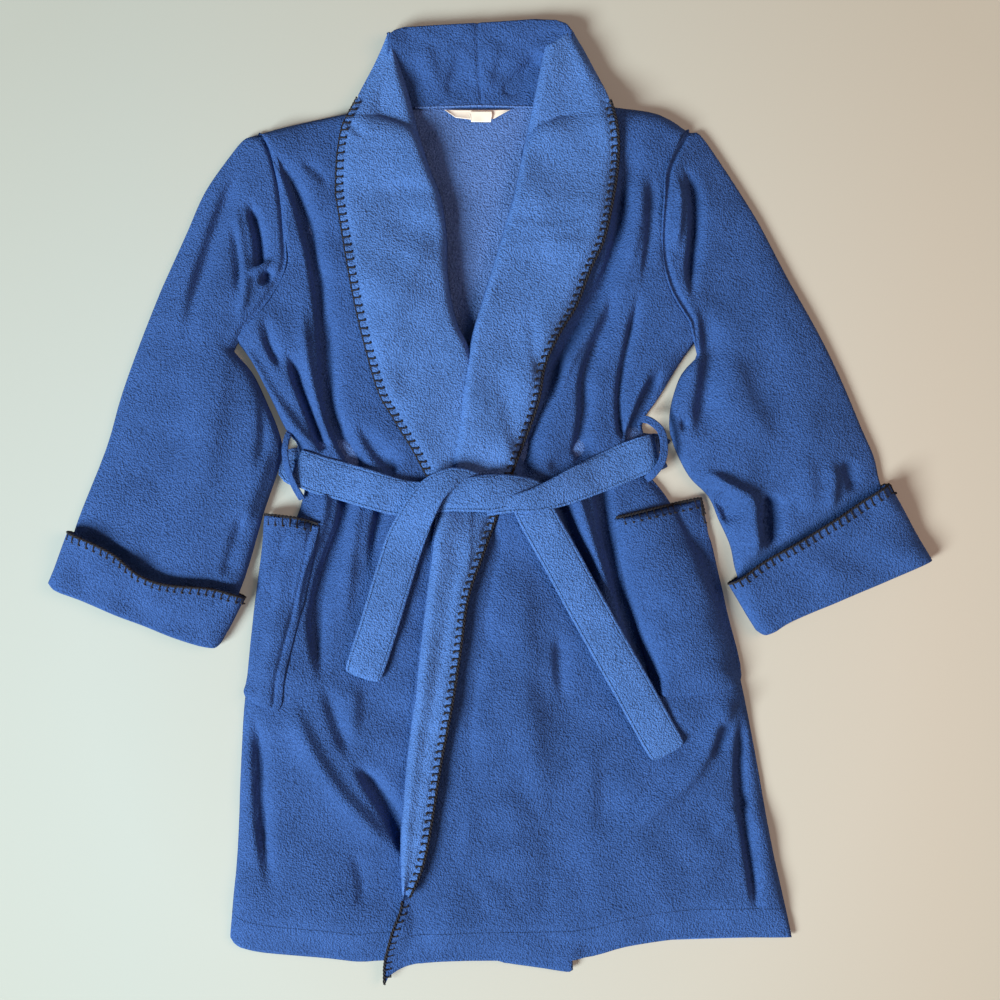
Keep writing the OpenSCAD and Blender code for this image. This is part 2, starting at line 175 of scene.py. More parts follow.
def folds(x, y, pleats):
    # each: points, height and width in mm, lean to one side, the shares over which it fades in and out
    total = np.zeros(len(x))
    for points, height, width, lean, fadeIn, fadeOut in pleats:
        d, along = nearLine(x, y, curveThrough([(px * mm, py * mm) for px, py in points]))
        slant = lean + (0.42 if height < 0 else -0.35)  # steep on the side away from the light
        ends = smooth(along, -0.001, fadeIn) * (1 - smooth(along, 1 - fadeOut, 1.001))
        w = width * 1.16 * mm * np.where(d > 0, 1 + slant, 1 - slant) * (0.62 + 0.38 * ends)
        total += height * mm * np.exp(-(d / w) ** 2) * ends
    return total


def ripples(x, y, seed, length, height):  # soft uneven swells, the same every time
    draw = random.Random(seed)
    total = np.zeros(len(x))
    for _ in range(10):
        angle, phase = draw.uniform(0, math.tau), draw.uniform(0, math.tau)
        k = math.tau / (length * mm * draw.uniform(0.7, 1.5))
        total += np.sin((x * math.cos(angle) + y * math.sin(angle)) * k + phase)
    return total * height * mm / 3.2


def sheetGrid(name, cols, rows, place, closed=False):  # a flat grid laid in place point by point
    bm = bmesh.new()
    bmesh.ops.create_grid(bm, x_segments=cols, y_segments=rows, size=0.5)
    mesh = bpy.data.meshes.new(name)
    bm.to_mesh(mesh)
    bm.free()
    count = len(mesh.vertices)
    co = np.zeros(count * 3)
    mesh.vertices.foreach_get("co", co)
    co = co.reshape(-1, 3)
    xyz, uv = place(co[:, 0] + 0.5, co[:, 1] + 0.5)
    mesh.vertices.foreach_set("co", xyz.astype(np.float32).ravel())
    layer = mesh.uv_layers.new(name="cloth")
    index = np.zeros(len(mesh.loops), np.int32)
    mesh.loops.foreach_get("vertex_index", index)
    layer.data.foreach_set("uv", uv[index].astype(np.float32).ravel())
    if closed:
        bm = bmesh.new()
        bm.from_mesh(mesh)
        bmesh.ops.remove_doubles(bm, verts=bm.verts, dist=0.05 * mm)
        bmesh.ops.recalc_face_normals(bm, faces=bm.faces)
        bm.to_mesh(mesh)
        bm.free()
    mesh.polygons.foreach_set("use_smooth", [True] * len(mesh.polygons))
    obj = bpy.data.objects.new(name, mesh)
    bpy.context.scene.collection.objects.link(obj)
    return obj


def thicken(obj, thickness, outward=-1.0):
    wall = obj.modifiers.new("wall", "SOLIDIFY")
    wall.thickness = thickness
    wall.offset = outward
    return obj


def fixNormals(obj):  # the upper side of the cloth faces up
    mesh = obj.data
    total = sum(p.normal.z * p.area for p in mesh.polygons)
    if total < 0:
        mesh.flip_normals()


def applied(obj):  # the mesh with its modifiers built in
    bpy.context.view_layer.update()
    mesh = bpy.data.meshes.new_from_object(obj.evaluated_get(bpy.context.evaluated_depsgraph_get()))
    obj.modifiers.clear()
    obj.data = mesh
    mesh.polygons.foreach_set("use_smooth", [True] * len(mesh.polygons))
    return obj


def finishPiece(obj, body, nodes, material):
    obj.data.materials.append(material)
    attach(obj, body)
    if nodes:
        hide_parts(*nodes)
    return obj


class Val:  # a socket that takes part in arithmetic
    def __init__(self, nodes, socket):
        self.nodes, self.socket = nodes, socket

    def math(self, operation, other=0.0, swap=False):
        first, second = (other, self) if swap else (self, other)
        return self.nodes.add("ShaderNodeMath", {"operation": operation}, {0: first, 1: second})

    def __add__(self, other):
        return self.math("ADD", other)

    def __radd__(self, other):
        return self.math("ADD", other, True)

    def __sub__(self, other):
        return self.math("SUBTRACT", other)

    def __rsub__(self, other):
        return self.math("SUBTRACT", other, True)

    def __mul__(self, other):
        return self.math("MULTIPLY", other)

    def __rmul__(self, other):
        return self.math("MULTIPLY", other, True)

    def __pow__(self, other):
        return self.math("POWER", other)


class NodeKit:
    def __init__(self, material):
        material.use_nodes = True
        self.tree = material.node_tree
        self.tree.nodes.clear()

    def add(self, kind, settings=None, inputs=None, out=0):
        node = self.tree.nodes.new(kind)
        for key, value in (settings or {}).items():
            if key == "stops":
                ramp = node.color_ramp.elements
                while len(ramp) < len(value):
                    ramp.new(0.5)
                for stop, (place, colour) in zip(ramp, value):
                    stop.position, stop.color = place, colour
            else:
                setattr(node, key, value)
        for key, value in (inputs or {}).items():
            if isinstance(value, Val):
                self.tree.links.new(value.socket, node.inputs[key])
            else:
                node.inputs[key].default_value = value
        return None if out is None else Val(self, node.outputs[out])

    def mixColour(self, share, a, b):
        return self.add("ShaderNodeMix", {"data_type": "RGBA"}, {0: share, 6: a, 7: b}, out=2)

    def surface(self, inputs):
        shader = self.add("ShaderNodeBsdfPrincipled", {}, inputs)
        self.add("ShaderNodeOutputMaterial", {}, {"Surface": shader}, out=None)


fleeceLook = {
    "tuft": 1.9,  # mm from one tuft of nap to the next
    "tuftHeight": 1.4,
    "patch": 38.0,  # mm, how far brushed patches of nap reach
    "sheen": 0.12,
}


def fleece(name, deep, light, seams=()):
    # each seam: axis of the cloth's own map, place in mm, pitch of its dashes in mm
    material = bpy.data.materials.new(name)
    kit = NodeKit(material)
    look = fleeceLook
    here = kit.add("ShaderNodeTexCoord", out=3)
    warp = kit.add("ShaderNodeTexNoise", {}, {"Vector": here, "Scale": 420.0, "Detail": 1.0}, out=1)
    bent = kit.add("ShaderNodeMix", {"data_type": "VECTOR"}, {0: 0.0012, 4: here, 5: warp}, out=1)
    cells = kit.add("ShaderNodeTexVoronoi", {"feature": "SMOOTH_F1"},
                    {"Vector": bent, "Scale": 1000.0 / look["tuft"], "Smoothness": 0.55})
    fine = kit.add("ShaderNodeTexNoise", {}, {"Vector": here, "Scale": 900.0, "Detail": 2.0})
    clump = kit.add("ShaderNodeTexNoise", {}, {"Vector": here, "Scale": 190.0, "Detail": 2.0})
    patch = kit.add("ShaderNodeTexNoise", {},
                    {"Vector": here, "Scale": 1000.0 / look["patch"], "Detail": 3.0})
    tufts = (1.0 - cells * 1.1) + (fine - 0.5) * 0.75 + (clump - 0.5) * 0.4
    height = tufts
    # the colour follows the tufts: painted shade in the hollows between them, plus the random tone of brushed
    # patches of nap
    shadeAndTone = tufts * 0.5 + (patch - 0.5) * 0.35 + 0.16
    if seams:
        own = kit.add("ShaderNodeUVMap", {"uv_map": "cloth"})
        split = kit.add("ShaderNodeSeparateXYZ", {}, {0: own})
        along = {0: split, 1: Val(kit, split.socket.node.outputs[1])}
        for axis, place, pitch in seams:
            across = (along[axis] - place * mm).math("ABSOLUTE") * (1000.0 / 0.9)
            groove = kit.add("ShaderNodeMath", {"operation": "SUBTRACT", "use_clamp": True},
                             {0: 1.0, 1: across})
            dash = (along[1 - axis] * (1000.0 * math.tau / pitch)).math("SINE") * 0.3 + 0.7
            height = height - groove * dash * 0.8
            # painted shade in each seam's groove, stitch by stitch
            shadeAndTone = shadeAndTone - groove * dash * 0.35
    colour = kit.add("ShaderNodeValToRGB", {"stops": [
        (0.1, (*[c * 0.55 for c in deep], 1)), (0.45, (*deep, 1)), (0.9, (*light, 1))]}, {0: shadeAndTone})
    bump = kit.add("ShaderNodeBump", {},
                   {"Strength": 1.0, "Distance": look["tuftHeight"] * mm, "Height": height})
    kit.surface({"Base Color": colour, "Roughness": 0.95, "Normal": bump, "Sheen Weight": look["sheen"],
                 "Sheen Roughness": 0.45, "Sheen Tint": (*light, 1), "Specular IOR Level": 0.15})
    return material


def yarnMaterial():
    material = bpy.data.materials.new("blackYarn")
    kit = NodeKit(material)
    here = kit.add("ShaderNodeTexCoord", out=3)
    strands = kit.add("ShaderNodeTexNoise", {}, {"Vector": here, "Scale": 1800.0, "Detail": 3.0})
    colour = kit.mixColour(strands, (0.003, 0.003, 0.005, 1), (0.026, 0.023, 0.028, 1))
    bump = kit.add("ShaderNodeBump", {}, {"Strength": 0.8, "Distance": 0.3 * mm, "Height": strands})
    kit.surface({"Base Color": colour, "Roughness": 0.8, "Normal": bump, "Specular IOR Level": 0.25})
    return material


def satinMaterial():
    material = bpy.data.materials.new("labelSatin")
    kit = NodeKit(material)
    here = kit.add("ShaderNodeTexCoord", out=3)
    rows = kit.add("ShaderNodeTexWave", {"wave_type": "BANDS", "bands_direction": "X"},
                   {"Vector": here, "Scale": 300.0, "Distortion": 1.5})
    soil = kit.add("ShaderNodeTexNoise", {}, {"Vector": here, "Scale": 60.0, "Detail": 2.0})
    colour = kit.mixColour(soil, (0.86, 0.80, 0.70, 1), (0.80, 0.66, 0.52, 1))
    bump = kit.add("ShaderNodeBump", {}, {"Strength": 0.3, "Distance": 0.1 * mm, "Height": rows})
    kit.surface({"Base Color": colour, "Roughness": 0.45, "Normal": bump, "Sheen Weight": 0.3})
    return material


fleeceColours = {  # deep between the tufts, where the shade is painted, light on them
    "robe": ((0.031, 0.080, 0.245), (0.066, 0.156, 0.440)),
    # painted light: the collar's fleece is a lighter copy of the robe's
    "collar": ((0.062, 0.144, 0.380), (0.120, 0.250, 0.640)),
    # painted light: the inside is a lighter copy of the robe's fleece, brightened to offset the shade it lies
    # in
    "inside": ((0.085, 0.165, 0.410), (0.160, 0.290, 0.680)),
    # painted light: the belt's fleece is a lighter copy of the robe's
    "belt": ((0.062, 0.148, 0.395), (0.125, 0.262, 0.670)),
}
robeFleece = fleece("robeFleece", *fleeceColours["robe"])
hemFleece = fleece("hemFleece", *fleeceColours["robe"], seams=[(1, 34, 3.2)])
litCollarFleece = fleece("litCollarFleece", *fleeceColours["collar"])
litInsideFleece = fleece("litInsideFleece", *fleeceColours["inside"])
litBeltFleece = fleece("litBeltFleece", *fleeceColours["belt"], seams=[(0, 3.5, 3.0), (0, 38.5, 3.0)])
pocketFleece = fleece("pocketFleece", *fleeceColours["robe"])
blackYarn = yarnMaterial()
labelSatin = satinMaterial()
print("materials made")


backCloth = Cloth(["back_panel"], low=20 * mm, high=36 * mm, every=True)
leftCloth = Cloth(["left_front"], low=38 * mm, high=28 * mm)
rightCloth = Cloth(["right_front"], -0.115, low=6 * mm, high=40 * mm)

bodyLook = {
    "thickness": 2.2,
    "leftHeight": 17.5,  # mm, top of the front that lies below
    "rightHeight": 21.5,
    "sideHeight": 5.2,
    "sideRound": 34,
    "hemRound": 46,
    "foldGain": 1.6,
    "lowest": 4.0,
    "shoulderRound": 22,
    "shoulderHeight": 6.0,
    "armholeDip": 3.4,
    "waistDip": 2.2,
    "waistWidth": 34,
    "leftFolds": [  # points in mm, height, width, lean, fades
        ([(-251, 399), (-223, 355), (-206, 305), (-193, 245),
          (-186, 179), (-182, 118), (-172, 78), (-155, 45)],
         -10, 7, 0.2, 0.25, 0.0),
        ([(-222, 168), (-213, 135), (-198, 96), (-183, 56)], -8, 5.5, 0, 0.25, 0.05),
        ([(-251, 210), (-244, 173), (-227, 144)], -5, 5, 0, 0.3, 0.3),
        ([(-206, 228), (-199, 157), (-187, 100), (-172, 58)], 4, 5, 0, 0.3, 0.1),
        ([(-275, 177), (-244, 126), (-211, 80), (-191, 58)], 4, 7, 0, 0.2, 0.1),
        ([(-147, 91), (-128, 58), (-103, 31)], -5, 8, 0, 0.4, 0.1),
        ([(-209, 377), (-176, 349)], -2.5, 5, 0, 0.3, 0.3),
        ([(-160, 14), (-167, -25), (-185, -74), (-195, -118), (-194, -157), (-183, -206)],
         -11, 7.5, 0.2, 0.0, 0.35),
        ([(-185, -195), (-167, -250), (-151, -285)], -4, 7, 0, 0.3, 0.3),
        ([(-152, -281), (-130, -314), (-113, -340), (-95, -377)], -10, 7.5, 0, 0.35, 0.0),
        ([(-120, -3), (-128, -41), (-132, -80)], -7, 7, 0, 0.0, 0.6),
        ([(-179, 5), (-185, -30), (-206, -85), (-213, -151)], 4, 5, 0, 0.0, 0.5),
        ([(-145, 3), (-152, -63), (-160, -151)], 3.5, 8, 0, 0.0, 0.5),
        ([(-260, -224), (-256, -283), (-254, -338), (-249, -388), (-240, -437)], -9, 6.5, 0, 0.3, 0.4),
        ([(-220, -206), (-196, -267), (-165, -316), (-134, -351), (-106, -384)], 4.5, 9, 0, 0.3, 0.2),
        ([(-147, -195), (-150, -267)], 3, 8, 0, 0.3, 0.4),
        ([(-154, -382), (-142, -417), (-146, -448)], -2.5, 6, 0, 0.3, 0.3),
    ],
    "rightFolds": [
        ([(145, 368), (142, 316), (133, 272), (121, 239), (102, 203),
          (80, 166), (63, 124), (46, 80), (29, 36)],
         -8, 7, 0, 0.15, 0.0),
        ([(128, 223), (106, 184), (86, 148), (73, 107)], 4, 5, 0, 0.3, 0.4),
        ([(134, 245), (130, 210), (113, 170), (102, 135), (101, 96), (95, 60)], -7, 6.5, 0, 0.3, 0.0),
        ([(166, 371), (163, 311), (152, 250)], 3, 8, 0, 0.3, 0.4),
        ([(176, 366), (174, 294), (165, 234)], -3.5, 5, 0, 0.3, 0.3),
        ([(165, 239), (151, 179), (141, 122), (143, 78)], -5.5, 3.8, 0, 0.3, 0.0),
        ([(189, 148), (172, 124), (162, 100), (153, 78)], -9, 5, 0, 0.3, 0.0),
        ([(178, 150), (158, 104), (151, 78)], 3, 4, 0, 0.3, 0.0),
        ([(119, 69), (88, 56), (61, 36)], -5, 8, 0, 0.4, 0.2),
        ([(119, 12), (124, -25), (133, -65), (144, -109), (157, -151), (172, -186), (187, -215)],
         -11, 6.5, 0, 0.0, 0.1),
        ([(73, 5), (88, -36), (106, -76), (123, -118)], -10, 5.5, 0, 0.0, 0.4),
        ([(99, 3), (114, -47), (132, -107)], 4, 5, 0, 0.0, 0.4),
        ([(-11, -3), (-14, -74), (-22, -151), (-29, -217),
          (-38, -283), (-47, -349), (-58, -415), (-73, -481)],
         -6, 8, 0, 0.0, 0.1),
        ([(74, -140), (75, -184), (80, -223)], -3.5, 7, 0, 0.3, 0.4),
        ([(33, -63), (40, -217), (62, -382)], 3.5, 20, 0, 0.2, 0.3),
        ([(270, -213), (244, -261), (222, -300), (176, -340), (128, -373)], 5, 8, 0, 0.1, 0.4),
        ([(257, -234), (246, -283)], -5, 6, 0, 0.3, 0.3),
        ([(276, -228), (273, -305), (283, -382), (294, -459)], -8, 5.5, 0, 0.2, 0.2),
        ([(275, -333), (246, -366)], 3.5, 6, 0, 0.3, 0.3),
        ([(121, -261), (125, -327), (117, -369)], -3, 14, 0, 0.3, 0.3),
    ],
}


def bodyTop(cloth, x, y, height, folded, seed, hemHeight):
    look = bodyLook
    left, right, bottom, top = cloth.depths(x, y)
    outer = left if cloth is leftCloth else right
    below = 1 - smooth(y, 150 * mm, 205 * mm)  # 0 beside the armhole, where the seam holds the cloth up
    side = rounded(outer, look["sideRound"] * mm)
    z = look["sideHeight"] + (height - look["sideHeight"]) * (side * below + 1 - below)
    z -= look["armholeDip"] * np.exp(-(outer / (3.4 * mm)) ** 2) * (1 - below)
    shoulder = (1 - rounded(top, look["shoulderRound"] * mm)) * smooth(y, 380 * mm, 405 * mm)
    z -= (z - look["shoulderHeight"]) * shoulder
    z -= (z - hemHeight) * (1 - smooth(bottom, 0, look["hemRound"] * mm)) * 0.85
    waist = np.abs(y - 26 * mm - x * 0.04)
    z -= look["waistDip"] * np.exp(-(waist / (look["waistWidth"] * mm)) ** 2)
    swell = folds(x, y, folded) * look["foldGain"]
    swell += ripples(x, y, seed, 150, 2.6) + ripples(x, y, seed + 1, 56, 0.9)
    z += swell * 1000 * smooth(bottom, -10 * mm, 40 * mm)
    return np.maximum(z, look["lowest"]) * mm


def leftTop(x, y):
    z = bodyTop(leftCloth, x, y, bodyLook["leftHeight"], bodyLook["leftFolds"], 3, 6.0)
    right = leftCloth.depths(x, y)[1]
    flat = (1 - smooth(right, 0, 60 * mm)) * smooth(-y, -60 * mm, 20 * mm)  # the hidden edge lies flat
    return z + (np.minimum(z, 9.5 * mm) - z) * flat


def rightTop(x, y):
    look = bodyLook
    past = -leftCloth.depths(x, y)[1]
    z = bodyTop(rightCloth, x, y, look["rightHeight"], look["rightFolds"], 11, 8.0)
    seam = x - rightLapelEdge(y)
    lower = 1 - smooth(y, -70 * mm, -20 * mm)
    upper = smooth(y, 90 * mm, 150 * mm) * (1 - smooth(y, 360 * mm, 420 * mm))
    z -= lower * 6.0 * mm * np.exp(-((seam - 9 * mm) / (11 * mm)) ** 2)
    z -= upper * 5.0 * mm * np.exp(-((seam - 12 * mm) / (14 * mm)) ** 2)
    z -= 2.6 * mm * smooth(past, -16 * mm, 20 * mm)  # past the underlap there is less to lie on
    covered = 1 - smooth(past, -4 * mm, 14 * mm)
    lowest = leftTop(x, y) + 4.6 * mm
    return np.maximum(z + np.maximum(lowest - z, 0) * covered, 3.2 * mm)


lapelCloth = {"left": Cloth(["left_lapel"], reach=10 * mm), "right": Cloth(["right_lapel"], reach=10 * mm)}


def rightLapelEdge(y):
    return lapelCloth["right"].edges(np.maximum(y, -428 * mm))[1]


def panel(name, cloth, top, cols, rows, uvFrom="left"):
    def place(u, v):
        x, y = cloth.at(u, v)
        fx, fy = cloth.flat(x, y)
        left, right, bottom, up = cloth.depths(fx, fy)
        across = left if uvFrom == "left" else right
        return np.column_stack([fx, fy, top(fx, fy)]), np.column_stack([across, bottom])
    return sheetGrid(name, cols, rows, place)


backLook = {
    "height": 2.6,  # mm, top of the back panel
    "overBelt": 4.4,  # how far it rises over the belt behind it
    "swell": 1.4,
    "beltLine": [(-213, 41), (-100, 46), (60, 52), (180, 56)],
}


def backTop(x, y):
    look = backLook
    off = np.abs(nearLine(x, y, curveThrough(look["beltLine"]) * mm)[0])
    hump = look["overBelt"] * mm * (1 - smooth(off, 20 * mm, 30 * mm))
    swell = np.maximum(ripples(x, y, 21, 90, look["swell"]), -0.4 * mm) * smooth(y, 60 * mm, 420 * mm)
    return look["height"] * mm + hump + swell


back = thicken(panel("backPanel", backCloth, backTop, 120, 190), 2.0 * mm)
finishPiece(back, "robe", ["back_panel"], litInsideFleece)
leftFront = thicken(panel("leftFront", leftCloth, leftTop, 100, 240), bodyLook["thickness"] * mm)
finishPiece(leftFront, "robe", ["left_front"], hemFleece)
rightFront = thicken(panel("rightFront", rightCloth, rightTop, 116, 240), bodyLook["thickness"] * mm)
finishPiece(rightFront, "robe", ["right_front"], hemFleece)
print("body laid out")


def edgeTube(name, points, radius, body, nodes, material, sides=3):  # a rolled seam or a cord
    curve = bpy.data.curves.new(name, "CURVE")
    curve.dimensions = "3D"
    curve.bevel_depth = radius
    curve.bevel_resolution = sides
    curve.use_fill_caps = True
    runs = points if isinstance(points, list) else [points]
    for run in runs:
        line = curve.splines.new("POLY")
        line.points.add(len(run) - 1)
        for point, place in zip(line.points, run):
            point.co = (*place[:3], 1)
            point.radius = place[3] if len(place) > 3 else 1
    holder = bpy.data.objects.new(name + "Line", curve)
    mesh = bpy.data.meshes.new_from_object(holder)
    bpy.data.objects.remove(holder)
    obj = bpy.data.objects.new(name, mesh)
    bpy.context.scene.collection.objects.link(obj)
    mesh.materials.clear()
    mesh.polygons.foreach_set("use_smooth", [True] * len(mesh.polygons))
    return finishPiece(obj, body, nodes, material)


def sidePath(cloth, u, top, inward, height):
    x, y = cloth.flat(*cloth.at(np.full(240, u), np.linspace(0.004, 0.9, 240)))
    keep = y < top
    return np.column_stack([x + (inward if u < 0.5 else -inward), y, np.full(240, height)])[keep]


seamLook = {"radius": 2.2, "inset": 2.6, "height": 3.6, "hem": 33}
for side, cloth, u, top in (("left", leftCloth, 0.0, 0.183), ("right", rightCloth, 1.0, 0.187)):
    path = sidePath(cloth, u, top, seamLook["inset"] * mm, seamLook["height"] * mm)
    edgeTube(side + "SideSeam", path, seamLook["radius"] * mm, "robe", [side + "_side_seam"],
             robeFleece)
    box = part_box(side + "_shoulder_seam")
    x, y = cloth.flat(*cloth.at(np.linspace(0.02, 0.98, 60), np.full(60, 1.0)))
    keep = (x > box[0][0]) & (x < box[1][0])
    path = np.column_stack([x, y - 2.6 * mm, np.full(60, 3.8 * mm)])[keep]
    edgeTube(side + "ShoulderSeam", path, seamLook["radius"] * mm, "robe", [side + "_shoulder_seam"],
             robeFleece)


def hemStrip(name, cloth, node, top, drop):
    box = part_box(node)
    spare = 6 * mm

    def place(u, v):
        x = box[0][0] + spare + (box[1][0] - box[0][0] - 2 * spare) * u
        own = cloth.own(x, np.full(len(x), box[0][1]))[0]
        x, y = cloth.flat(own, cloth.lines(own)[0] + 1.5 * mm + seamLook["hem"] * mm * v)
        return np.column_stack([x, y, top(x, y) - drop]), np.column_stack([x, y])
    strip = thicken(sheetGrid(name, 90, 6, place), 2.0 * mm)
    return finishPiece(strip, "robe", [node], robeFleece)


hemStrip("backHem", backCloth, "back_hem", backTop, -2.1 * mm)
hemStrip("leftFrontHem", leftCloth, "left_front_hem", leftTop, 2.3 * mm)
hemStrip("rightFrontHem", rightCloth, "right_front_hem", rightTop, 2.3 * mm)
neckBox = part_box("neck_seam")
neckX = np.linspace(neckBox[0][0], neckBox[1][0], 40)
neckY = np.interp(neckX, [neckBox[0][0], -0.012, neckBox[1][0]], [0.4365, 0.4390, 0.4375])
neckPath = np.column_stack([neckX, neckY, np.full(40, 4.6 * mm)])
edgeTube("neckSeam", neckPath, 1.3 * mm, "robe", ["neck_seam"], litInsideFleece)
print("hems and seams done")


collarLook = {
    "thickness": 2.4,
    "roll": 11.0,  # mm, how round the folded edge is
    "scallop": 0.9,
    "bead": 1.5,  # mm, how far the yarn pulls the edge down between two swells
    "pitch": 8.5,
    "highest": 34,
    "neckHeight": {"left": 11, "right": 13},  # mm, what each half lies on behind the neck
    "waistAt": {"left": 15, "right": 0},
    "waistDip": 3.0,
    "crownAt": 532,
    "neckline": 436.5,
    "standTop": 529.5,
    "fallFrom": 452,
    "centreSeam": -12,
    "seamDip": 2.2,
    "crown": [(-113, 512), (-104, 519), (-94, 522.5), (-59, 525), (-12, 527.5), (48, 531.5), (72, 530.5),
              (84, 525.5), (92, 515)],  # the top line behind the neck, in mm
    "backFolds": [
        ([(56, 496), (33, 474), (13, 449)], -7, 8, 0, 0.2, 0.2),
        ([(-31, 500), (-42, 469), (-48, 445)], -4, 8, 0, 0.3, 0.3),
        ([(-72, 509), (-64, 476), (-57, 452)], 3, 9, 0, 0.3, 0.3),
        ([(11, 509), (2, 487), (-3, 452)], 3, 8, 0, 0.3, 0.2),
    ],
    "leftFolds": [  # points in mm, height, width, lean, fades
        ([(-158, 419), (-145, 405), (-134, 398)], -3.4, 6, 0, 0.3, 0.4),
        ([(-64, 305), (-94, 234), (-112, 173)], 4, 16, 0, 0.3, 0.3),
        ([(-42, 166), (-77, 144), (-105, 118)], -3, 14, 0, 0.3, 0.3),
        ([(-57, 338), (-99, 344), (-132, 338)], -2.5, 10, 0, 0.3, 0.3),
    ],
    "rightFolds": [
        ([(16, 278), (66, 283), (119, 280)], 2.5, 10, 0, 0.3, 0.3),
        ([(11, 316), (66, 309), (110, 316)], -2, 10, 0, 0.3, 0.3),
        ([(41, 217), (47, 168), (55, 129)], -2.5, 6, 0, 0.3, 0.3),
        ([(-34, -60), (-52, -160), (-70, -280)], -1.6, 9, 0, 0.3, 0.3),
    ],
}


def lapelSurface(side):
    look = collarLook
    cloth = lapelCloth[side]
    under = leftTop if side == "left" else rightTop

    def surface(edge, y):  # edge: distance from the stitched edge; returns the point on the top of the cloth
        left, right = cloth.edges(y)
        width = right - left
        x = left + edge if side == "left" else right - edge
        inner = width - edge
        z = under(x, np.minimum(y, 0.425))
        upper = smooth(y, 0.40, 0.47)
        base = np.clip(z, 6 * mm, 23 * mm) * (1 - upper) + look["neckHeight"][side] * mm * upper
        if side == "left":
            rise = 3.2 * mm + 3.6 * mm * smooth(edge, 0, 20 * mm)
            rise += 2.6 * mm * smooth(edge, width * 0.4, width * 0.9)
            low = np.maximum(base - 3 * mm, 6 * mm)
        else:
            lower = 1 - smooth(y, -80 * mm, 0.0)
            upper = smooth(y, 60 * mm, 130 * mm)
            rise = 4.0 * mm + 3.0 * mm * smooth(edge, 0, 16 * mm)
            rise += 2.4 * mm * smooth(edge, width * 0.35, width * 0.8)
            rise += (lower * 6.5 + upper * 4.0) * mm * (1 - smooth(edge, 0, width * 0.6))
            low = np.minimum(base - 1.5 * mm, 15 * mm)
        waist = np.exp(-((y - look["waistAt"][side] * mm) / (30 * mm)) ** 2)
        rise -= waist * look["waistDip"] * mm
        rise += folds(x, y, look[side + "Folds"])
        z = base + rise + ripples(x, y, 31 if side == "left" else 37, 60, 0.8)
        z = np.minimum(z, look["highest"] * mm)
        roll = np.minimum(look["roll"] * mm, width * 0.3)
        z = low + (z - low) * rounded(inner, roll)
        top = smooth(y, 0.445, 0.50)  # behind the neck the outer edge is a fold too
        z = z + (5 * mm - z) * top * (1 - rounded(edge, np.minimum(14 * mm, width * 0.45)))
        crown = look["crownAt"] * mm - y
        z = 5 * mm + (z - 5 * mm) * rounded(crown, 16 * mm)
        return np.column_stack([x, y, z])
    return surface


lapelTop = {"left": lapelSurface("left"), "right": lapelSurface("right")}


def stitchRun(line, pitch):  # lengths along a line, and the places of evenly spaced stitches
    steps = np.linalg.norm(np.diff(line, axis=0), axis=1)
    run = np.concatenate([[0], np.cumsum(steps)])
    count = int((run[-1] - 4 * mm) / (pitch * mm))
    start = (run[-1] - (count - 1) * pitch * mm) / 2
    return run, start + np.arange(count) * pitch * mm


def scallop(distance, starts, pitch):  # how far an edge is pulled in: most at a stitch, none halfway
    return np.abs(np.cos((distance - starts[0]) * math.pi / (pitch * mm)))


stitchedSpan = {"left": (0.022, 0.446), "right": (-0.428, 0.440)}


def lapelPiece(side):
    cloth = lapelCloth[side]
    surface = lapelTop[side]
    low, high = cloth.rows[0], cloth.rows[-1]
    rows, cols = (390, 36) if side == "left" else (690, 36)
    high -= 2.5 * mm
    yEdge = np.linspace(low, high, 900)
    edgeLine = surface(np.zeros(900), yEdge)
    start, end = stitchedSpan[side]
    _, starts = stitchRun(edgeLine[(yEdge > start) & (yEdge < end)], collarLook["pitch"])
    along = np.concatenate([[0], np.cumsum(np.linalg.norm(np.diff(edgeLine, axis=0), axis=1))])
    along = along - np.interp(start, yEdge, along)

    def place(u, v):
        y = low + (high - low) * v
        left, right = cloth.edges(y)
        width = right - left
        edge = width * (1 - np.cos(u * math.pi)) / 2 * 0.5 + width * u * 0.5
        held = scallop(np.interp(y, yEdge, along), starts, collarLook["pitch"])
        sewn = (y > start) * (y < end)
        pull = collarLook["scallop"] * mm * held * np.clip(1 - edge / (5 * mm), 0, 1) * sewn
        xyz = surface(edge, y)
        xyz[:, 0] += pull if side == "left" else -pull
        xyz[:, 2] -= collarLook["bead"] * mm * held ** 6 * (1 - smooth(edge, 5 * mm, 8 * mm)) * sewn
        xyz[:, 2] -= 0.9 * mm * np.exp(-((edge - 7.6 * mm) / (1.5 * mm)) ** 2) * sewn
        return xyz, np.column_stack([edge, y])
    obj = sheetGrid(side + "Lapel", cols, rows, place)
    fixNormals(obj)
    return thicken(obj, collarLook["thickness"] * mm)


for side in ("left", "right"):
    finishPiece(lapelPiece(side), "robe", [side + "_lapel"], litCollarFleece)


